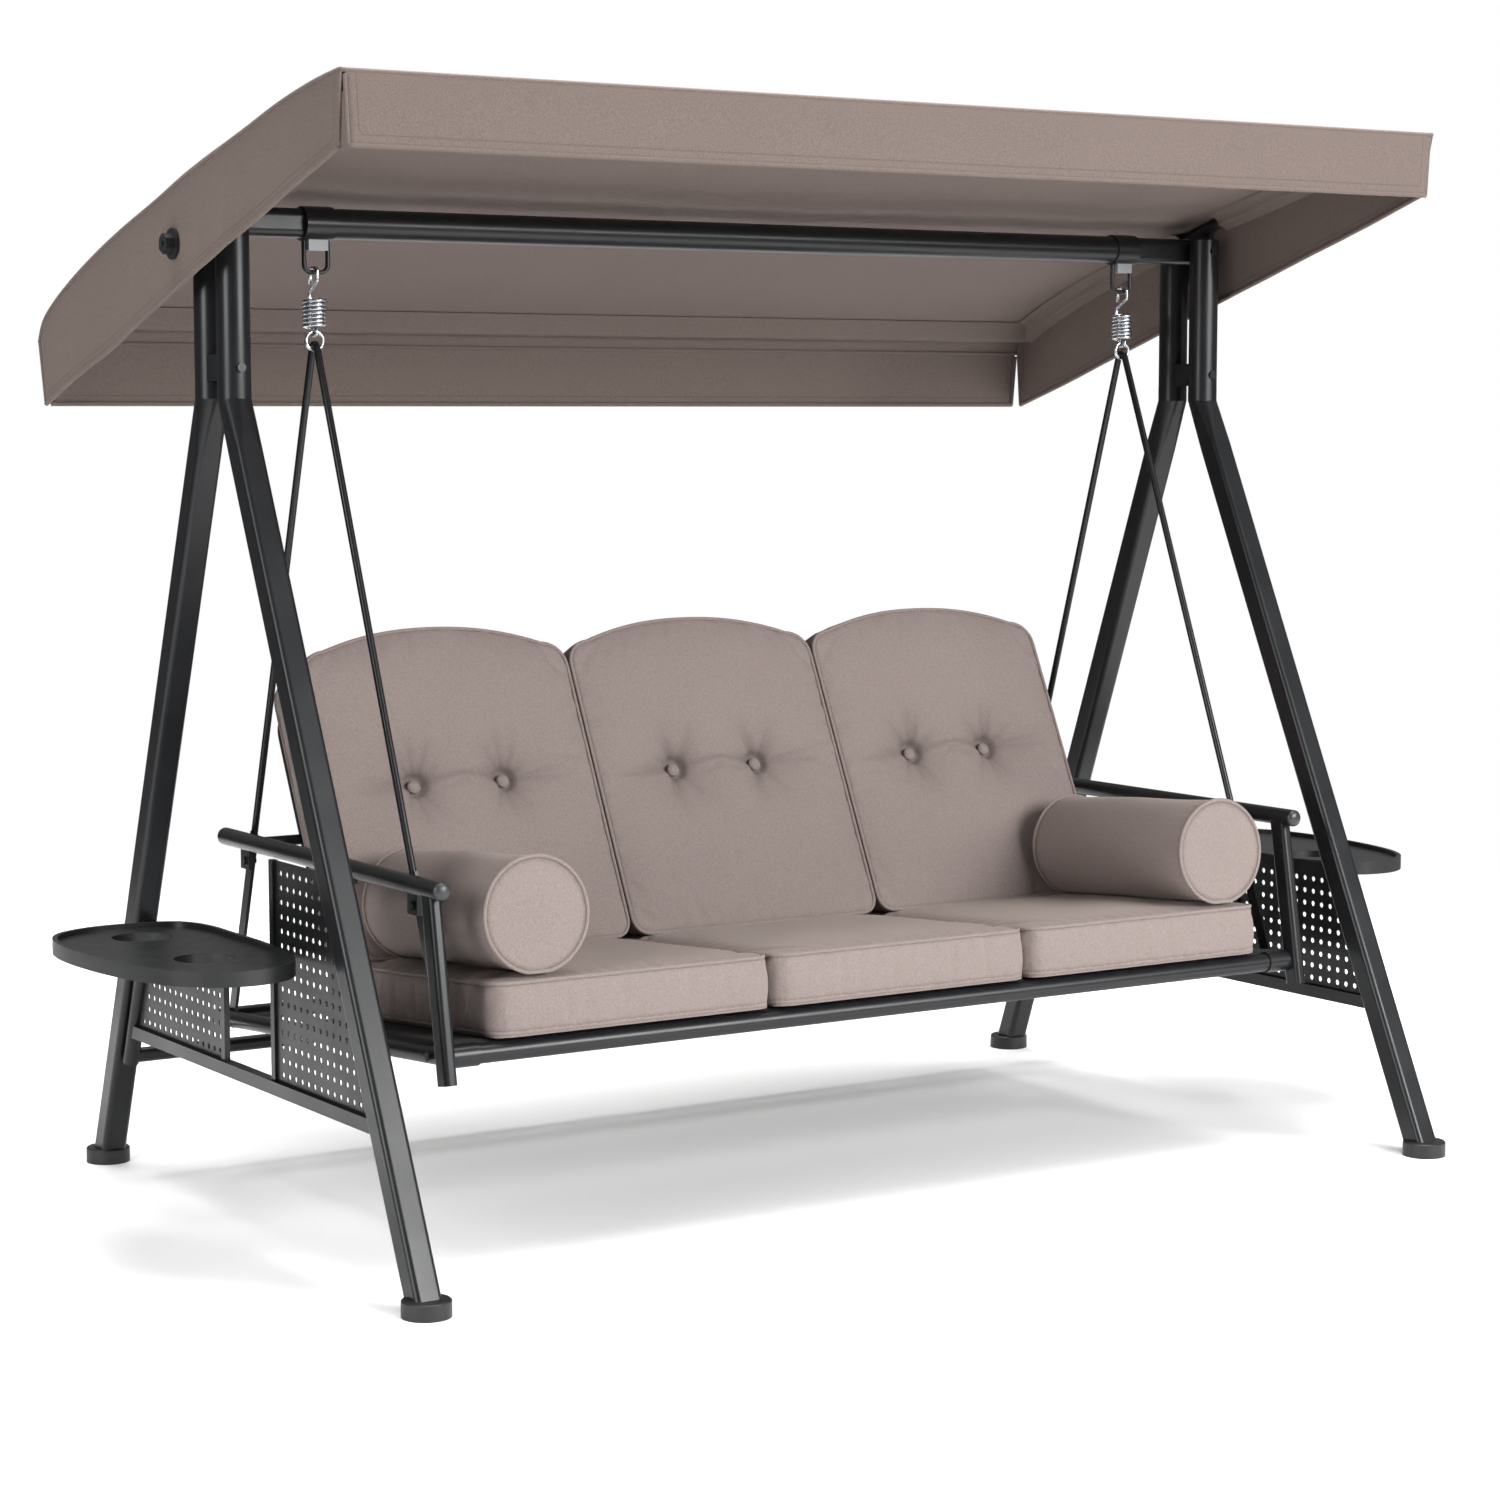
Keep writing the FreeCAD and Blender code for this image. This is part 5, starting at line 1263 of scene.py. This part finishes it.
@dataclass
class Canopy:
    """One bowed sheet that also makes the front and rear drops, and two sewn side drops."""

    half: float = 1.068
    cloth: float = 0.0016
    slit: float = 0.0075
    shift: float = 0.046
    sag: float = 0.012
    rows: int = 14
    piping: float = 0.0034
    hem: float = 0.0042
    splay: float = 0.018
    pivot: float = 0.076
    pivot_high: float = 1.59
    calm: float = 0.12
    corner: tuple[tuple[float, float], ...] = (
        (.050, .0024), (.0238, .0130), (.0208, .0202), (.0130, .0238), (.0025, .0310))
    line: tuple[tuple[float, float], ...] = (
        (-.580, 1.815), (-.520, 1.808), (-.450, 1.797), (-.360, 1.779), (-.270, 1.757),
        (-.180, 1.735), (-.080, 1.711), (.020, 1.685), (.100, 1.662), (.200, 1.635),
        (.300, 1.606), (.380, 1.580), (.460, 1.551), (.530, 1.522), (.580, 1.497),
        (.610, 1.474), (.626, 1.446))

    def roof(self, count: int = 120) -> Array:
        """The roof's line from front to rear in the row frame, as a smooth cubic."""
        return smooth_curve(np.array(self.line) + np.array([self.shift, 0.0]), count)

    def build(self, shelf: FinishShelf) -> None:
        """Makes the sheet, the side drops, and the piping and hems along their edges.

        Args:
            shelf: the finishes.
        """
        trim = [self.edges(shelf), self.tunnels(shelf)]
        top = self.main_sheet(shelf)
        sides = [self.side_drop(shelf, side) for side in Side]
        LOG.info("canopy: %s, %s", top.name, ", ".join(s.name for s in sides))

    def main_profile(self) -> tuple[Array, Array, Array]:
        """The sheet's line from the front hem, up and over the roof, to the rear hem.

        Returns:
            The points (y, z), the share of each that is roof (1) or drop (0), and the run.
        """
        roof = self.roof()
        front, rear = (
            np.stack([np.full(self.rows, end[0]),
                      np.linspace(end[1] - 0.006, drop.hem, self.rows)], -1)
            for drop, end in ((FRONT_DROP, roof[0]), (REAR_DROP, roof[-1] + (0.0005, 0.0))))
        roof[0] += (0.002, -0.0005)
        whole = np.vstack([front[::-1], roof, rear])
        is_roof = np.concatenate([np.zeros(self.rows), np.ones(len(roof)), np.zeros(self.rows)])
        return whole, is_roof, distance_along(whole)

    def main_sheet(self, shelf: FinishShelf) -> bpy.types.Object:
        """Makes the roof and both drops as one sheet.

        Its place is (x, line(v)) moved along the line's normal by a sag between the tubes,
        sag * (1 - (x/half)^2) * sin^2(pi t), and by slow waves of one or two millimetres.

        Args:
            shelf: the finishes.

        Returns:
            The sheet.
        """
        line, is_roof, run = self.main_profile()
        columns = np.linspace(-1, 1, 181)
        ahead = unit(np.gradient(line, axis=0))
        normal = np.stack([-ahead[:, 1], ahead[:, 0]], -1)
        t = np.clip((line[:, 0] - line[:, 0].min()) / np.ptp(line[:, 0]), 0, 1)
        u = columns[None, :]
        tube = np.sin(math.pi * t) ** 2 * is_roof
        sag = self.sag * (1 - np.abs(u) ** 2.2) * tube[:, None]
        wave = (0.0016 * np.sin(u * 9 + 1.0) * np.sin(t * 11)[:, None]
                + 0.0009 * np.sin(u * 23 + 3 * t[:, None])) * tube[:, None]
        move = wave - sag
        y = line[:, :1] + normal[:, :1] * move
        z = line[:, 1:] + normal[:, 1:] * move
        half = self.half - np.where(is_roof == 1, 0.0, self.slit)
        for drop, here in ((FRONT_DROP, t < 0.02), (REAR_DROP, t > 0.98)):
            hang = 1 - np.clip((line[:, 1] - drop.hem) / drop.depth, 0, 1)
            hang = np.where(here & (is_roof == 0), hang, 0)
            y += drop.inwards * drop.ripple(u) * hang[:, None]
            half -= drop.spread * hang
        x = u * half[:, None]
        points = np.stack([np.broadcast_to(x, y.shape), y, z], -1)
        uv = np.stack([points[..., 0], np.broadcast_to(run[:, None], y.shape)], -1)
        sheet = make_mesh("canopy_sheet", points.reshape(-1, 3),
                          grid_faces(len(line), len(columns))[:, ::-1], uv=uv.reshape(-1, 2))
        hem_gap = np.minimum(run, run[-1] - run)[:, None]
        side_gap = (1 - np.abs(u)) * self.half + np.where(is_roof == 1, 0.1, 0.0)[:, None]
        set_value(sheet, "hem", np.minimum(np.broadcast_to(hem_gap, y.shape), side_gap).ravel())
        thicken(sheet, self.cloth, -1)
        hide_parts("canopy_top", "front_valance", "rear_valance")
        LOG.info("canopy sheet is cut %.3f by %.3f m", 2 * self.half, run[-1])
        return shelf.fit(sheet, CANOPY_CLOTH, "canopy")

    def side_edges(self) -> tuple[Array, Array, Array]:
        """A side drop's front-to-rear places with its top and bottom levels.

        Returns:
            y, the top level and the bottom level.
        """
        roof = self.roof(260)
        y = np.linspace(roof[0, 0] + 0.003, roof[-1, 0] - 0.002, 150)
        top = np.interp(y, roof[:, 0], roof[:, 1]) - 0.0018
        share = (y - y[0]) / (y[-1] - y[0])
        return y, top, FRONT_DROP.hem + (REAR_DROP.hem - FRONT_DROP.hem) * share

    def billow(self, y: Array, z: Array, v: Array | float, side: Side) -> Array:
        """How far a side drop billows in: b (1 - v)^0.8 with slow waves, and none by the knob.

        Args:
            y: front-to-rear places.
            z: levels.
            v: share of the height, nothing at the hem and one at the roof.
            side: which side drop.

        Returns:
            The distance inwards at each place.
        """
        calm = np.clip(np.hypot(y - self.pivot, z - self.pivot_high) / self.calm, 0, 1) ** 2
        wave = 0.003 + 0.0025 * np.sin(y * 9 + side.value) + 0.0016 * np.sin(y * 21)
        return np.abs(wave) * (1 - v) ** 0.8 * calm

    def drawn_in(self, y: Array, v: Array) -> Array:
        """Draws a side drop's ends in towards its middle, most at the hem, so the corners open."""
        middle = (y[0] + y[-1]) / 2
        return middle + (y - middle) * (1 - 2 * self.splay / (y[-1] - y[0]) * (1 - v))

    def side_drop(self, shelf: FinishShelf, side: Side) -> bpy.types.Object:
        """Makes one side drop: a sheet between the roof's edge and a straight hem.

        Args:
            shelf: the finishes.
            side: which side.

        Returns:
            The sheet.
        """
        y, top, low = self.side_edges()
        v = np.linspace(0, 1, 30)[:, None]
        z = low + (top - low) * v
        x = side.value * (self.half - 0.0005 - self.billow(y, z, v, side))
        points = np.stack([x, self.drawn_in(y, v), z], -1)
        uv = np.stack([points[..., 1], points[..., 2]], -1)
        sheet = make_mesh(side.word + "_side_drop", points.reshape(-1, 3),
                          grid_faces(len(v), len(y))[:, ::side.value], uv=uv.reshape(-1, 2))
        ends = np.minimum(y - y[0], y[-1] - y)
        set_value(sheet, "hem", np.minimum(z - low, ends).ravel())
        thicken(sheet, self.cloth, -1)
        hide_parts(side.word + "_valance")
        return shelf.fit(sheet, CANOPY_CLOTH, "canopy")

    def edges(self, shelf: FinishShelf) -> bpy.types.Object:
        """Sews piping along the roof's four edges and rolled hems along every free edge.

        Args:
            shelf: the finishes.

        Returns:
            The cords as one piece.
        """
        roof, half = self.roof(200), self.half
        y, top, low = self.side_edges()
        cords = []
        x = np.linspace(-half, half, 200)
        first, last = roof[0], roof[-1]
        cords.append(self.cord("front_piping", x, np.full(200, first[0] + 0.001),
                               np.full(200, first[1] - 0.003), self.piping))
        cords.append(self.cord("rear_piping", x, np.full(200, last[0]),
                               np.full(200, last[1] - 0.002), self.piping))
        share = np.linspace(0, 1, 24)
        for side in Side:
            name, way = side.word, side.value
            full = np.full(len(roof), way * (half - 0.001))
            cords.append(self.cord(name + "_roof_piping", full, roof[:, 0], roof[:, 1] - 0.002,
                                   self.piping, (1, 0, 0)))
            edge = way * (half - 0.0013 - self.billow(y, low, 0.0, side))
            drawn = self.drawn_in(y, 0.0)
            cords.append(self.cord(name + "_side_hem", edge, drawn, low + 0.002, self.hem,
                                   (1, 0, 0)))
            for tag, k in (("front", 0), ("rear", -1)):
                rise = np.linspace(low[k] + 0.002, top[k] - 0.002, 24)
                inset = edge[k] + (way * (half - 0.001) - edge[k]) * share
                ends = y[k] + (drawn[k] - y[k]) * (1 - share)
                cords.append(self.cord("%s_%s_side_cord" % (name, tag), inset,
                                       ends, rise, self.hem * 0.85, (1, 0, 0)))
        for drop, end in ((FRONT_DROP, first), (REAR_DROP, last)):
            u = np.linspace(-1, 1, 200)
            swing = drop.ripple(u)
            reach_x = half - self.slit - drop.spread
            cords.append(self.cord(drop.name + "_drop_hem", u * reach_x,
                                   end[0] + drop.inwards * (swing + 0.0008),
                                   np.full(200, drop.hem + 0.002), self.hem))
            for way in (-1, 1):
                rise = np.linspace(drop.hem + 0.002, end[1] - 0.008, 24)
                bend = swing[0 if way < 0 else -1] * (1 - share)
                cords.append(self.cord("%s_drop_cord_%d" % (drop.name, way),
                                       way * (reach_x + drop.spread * share),
                                       end[0] + drop.inwards * (bend + 0.0008), rise,
                                       self.hem * 0.8, (1, 0, 0)))
        return self.trim(shelf, "canopy_piping", cords)

    def trim(self, shelf: FinishShelf, name: str,
             pieces: list[bpy.types.Object]) -> bpy.types.Object:
        """Joins pieces of trim into one, which shows no stitches of its own.

        Args:
            shelf: the finishes.
            name: the name of the whole.
            pieces: the cords or strips.

        Returns:
            The joined trim.
        """
        whole = joined(name, pieces)
        set_value(whole, "hem", np.ones(len(whole.data.vertices)))
        return shelf.fit(whole, CANOPY_CLOTH, "canopy")

    def tunnels(self, shelf: FinishShelf) -> bpy.types.Object:
        """Lines the corners round the canopy's bars with the cloth tunnels they slide through.

        Each tunnel is one strip: from the underside of the roof, round the bar with a little
        room, to the inside of the drop. The side ones leave the tilt plates bare.

        Args:
            shelf: the finishes.

        Returns:
            The strips as one piece.
        """
        roof, strips = self.roof(260), []
        bars = read_points(frame["nodes"]["canopy_cross_bars"].data)
        x = np.linspace(-self.half + 0.004, self.half - 0.004, 60)
        for way in (-1, 1):
            bar = bars[bars[:, 1] * way > 0]
            y, z = (bar[:, 1:].min(0) + bar[:, 1:].max(0)) / 2
            turn = np.radians([200, 235, 270, 300] if way > 0 else [340, 305, 270, 240])
            start = y - 0.028 * way
            begin = (start, np.interp(start, roof[:, 0], roof[:, 1]) - 0.0024)
            drop = roof[-1 if way > 0 else 0, 0] - 0.0022 * way
            line = [begin, *zip(y + 0.0108 * np.cos(turn), z + 0.0108 * np.sin(turn)),
                    (drop, z - 0.016)]
            line = smooth_curve(np.array(line), 22)
            strips.append(self.strip(np.stack(np.broadcast_arrays(
                x[:, None], line[:, 0], line[:, 1]), -1)))
        ahead = unit(np.gradient(roof, axis=0))
        under = np.stack([ahead[:, 1], -ahead[:, 0]], -1)
        across = smooth_curve(np.array(self.corner), 22)
        for side in Side:
            for low, high in ((roof[0, 0] + 0.02, self.pivot - 0.052),
                              (self.pivot + 0.052, roof[-1, 0] - 0.03)):
                kept = (roof[:, 0] > low) & (roof[:, 0] < high)
                place = roof[kept][:, None, :] + under[kept][:, None, :] * across[:, 1:]
                wide = np.broadcast_to(side.value * (self.half - across[:, 0]), place.shape[:2])
                strips.append(self.strip(np.concatenate([wide[..., None], place], -1)))
        return self.trim(shelf, "canopy_tunnels", strips)

    def strip(self, rows: Array) -> bpy.types.Object:
        """Makes one smooth strip of cloth from rows of points."""
        uv = np.stack(np.broadcast_arrays(distance_along(rows[:, 0])[:, None],
                                          distance_along(rows[0])), -1)
        return make_mesh("strip", rows, grid_faces(*rows.shape[:2]), uv=uv.reshape(-1, 2))

    def cord(self, name: str, x: Array, y: Array, z: Array, radius: float,
             up: tuple[float, float, float] = (0, 0, 1)) -> bpy.types.Object:
        """Makes one length of piping or hem along given places."""
        return make_tube(name, np.stack(np.broadcast_arrays(x, y, z), -1), radius, 8, False, up)


# ------------------------------------------------------------------ springs
@dataclass
class Springs:
    """The pair of zinc springs, which stretch between the staples and the rings."""

    stretch_high: float = 1.505
    stretch_low: float = 1.462

    def build(self, shelf: FinishShelf) -> None:
        """Copies the wound wire from CAD and merges it into one smooth piece.

        Args:
            shelf: the finishes.
        """
        node = frame["nodes"]["springs"]
        mesh = node.data.copy()
        work = bmesh.new()
        work.from_mesh(mesh)
        bmesh.ops.remove_doubles(work, verts=work.verts, dist=1e-6)
        work.to_mesh(mesh)
        work.free()
        wire = bpy.data.objects.new("spring_wire", mesh)
        bpy.context.scene.collection.objects.link(wire)
        shade_smooth(wire)
        shelf.dress(wire, ZINC_WIRE)
        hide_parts("springs")
        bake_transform(wire)
        LOG.info("spring wire: %d points", len(mesh.vertices))


# ------------------------------------------------------------------ studio
@dataclass
class Studio:
    """A pale floor that fades into a white surround, soft lamps and the camera."""

    lens: float = 80.74
    place: tuple[float, float, float] = (-3.216, -4.965, 1.326)
    yaw: float = 32.71
    pitch: float = 5.76
    floor_near: float = 2.2
    floor_far: float = 4.6
    floor_half: float = 8.0
    aim: tuple[float, float, float] = (0.0, 0.0, 0.8)
    lamps: tuple[tuple[str, tuple[float, float, float], tuple[float, float], float], ...] = (
        ("key", (2.3, -6.6, 3.1), (4.2, 2.8), 720.0),
        ("edge", (-6.2, -1.6, 2.4), (2.4, 3.2), 210.0),
        ("top", (0.2, 0.2, 5.8), (5.0, 4.0), 700.0))

    def build(self) -> None:
        """Makes the floor, the surround, the lamps and the camera."""
        self.floor()
        self.surround()
        for lamp in self.lamps:
            self.lamp(*lamp)
        data = bpy.data.cameras.new("camera")
        data.lens = self.lens
        data.sensor_width = 36.0
        data.dof.use_dof = False
        camera = bpy.data.objects.new("camera", data)
        camera.location = self.place
        camera.rotation_euler = (math.radians(90 - self.pitch), 0.0, math.radians(-self.yaw))
        bpy.context.scene.collection.objects.link(camera)
        bpy.context.scene.camera = camera

    def floor(self) -> None:
        """Makes a flat floor of pale paint, which thins to nothing between two radii."""
        corners = self.floor_half * np.array([[-1, -1, 0], [1, -1, 0], [1, 1, 0], [-1, 1, 0]])
        floor = make_mesh("studio_floor", corners, [[0, 1, 2, 3]], smooth=False)
        material, tree = empty_material("pale_floor_paint")
        place = add_node(tree, "TexCoord", out="Object")
        away = add_node(tree, "VectorMath", (place,), "Value", operation="LENGTH")
        fade = add_node(tree, "MapRange", (away, self.floor_near, self.floor_far),
                        interpolation_type="SMOOTHSTEP")
        paint = add_node(tree, "BsdfDiffuse", {"Color": linear("#ffffff")})
        mix = add_node(tree, "MixShader", (fade, paint, add_node(tree, "BsdfTransparent")))
        add_node(tree, "OutputMaterial", {"Surface": mix})
        floor.data.materials.append(material)

    def surround(self) -> None:
        """Lights the scene from a pale surround, plain white to the eye, dimmer from below."""
        world = bpy.data.worlds.new("white_surround")
        bpy.context.scene.world = world
        world.use_nodes = True
        tree = world.node_tree
        tree.nodes.clear()
        white = linear("#ffffff")
        seen = add_node(tree, "LightPath", out="Is Camera Ray")
        way = add_node(tree, "TexCoord", out="Generated")
        rise = add_node(tree, "SeparateXYZ", (way,), "Z")
        level = add_node(tree, "MapRange", (rise, -0.2, 0.9, 0.08, 0.44))
        soft = add_node(tree, "Background", {"Color": white, "Strength": level})
        plain = add_node(tree, "Background", {"Color": white, "Strength": 1.0})
        mix = add_node(tree, "MixShader", (seen, soft, plain))
        add_node(tree, "OutputWorld", {"Surface": mix})
        bpy.context.scene.view_settings.view_transform = "Standard"

    def lamp(self, name: str, place: tuple[float, float, float], size: tuple[float, float],
             power: float) -> None:
        """Adds one soft rectangular lamp that faces the swing.

        Args:
            name: the lamp's name.
            place: where it stands.
            size: its width and height.
            power: its output in watts.
        """
        data = bpy.data.lights.new(name, "AREA")
        data.shape = "RECTANGLE"
        (data.size, data.size_y), data.energy = size, power
        lamp = bpy.data.objects.new(name, data)
        lamp.location = place
        lamp.rotation_euler = (Vector(self.aim) - Vector(place)).to_track_quat("-Z", "Y").to_euler()
        bpy.context.scene.collection.objects.link(lamp)


def main() -> None:
    """Dresses the frame, makes every soft piece, and sets the studio round them."""
    logging.basicConfig(level=logging.INFO, format="%(name)s: %(message)s")
    shelf = FinishShelf()
    shelf.dress_frame()
    Seating().build(shelf)
    Slings().build(shelf)
    Canopy().build(shelf)
    Springs().build(shelf)
    Studio().build()
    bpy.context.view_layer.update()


if __name__ == "__main__":
    main()
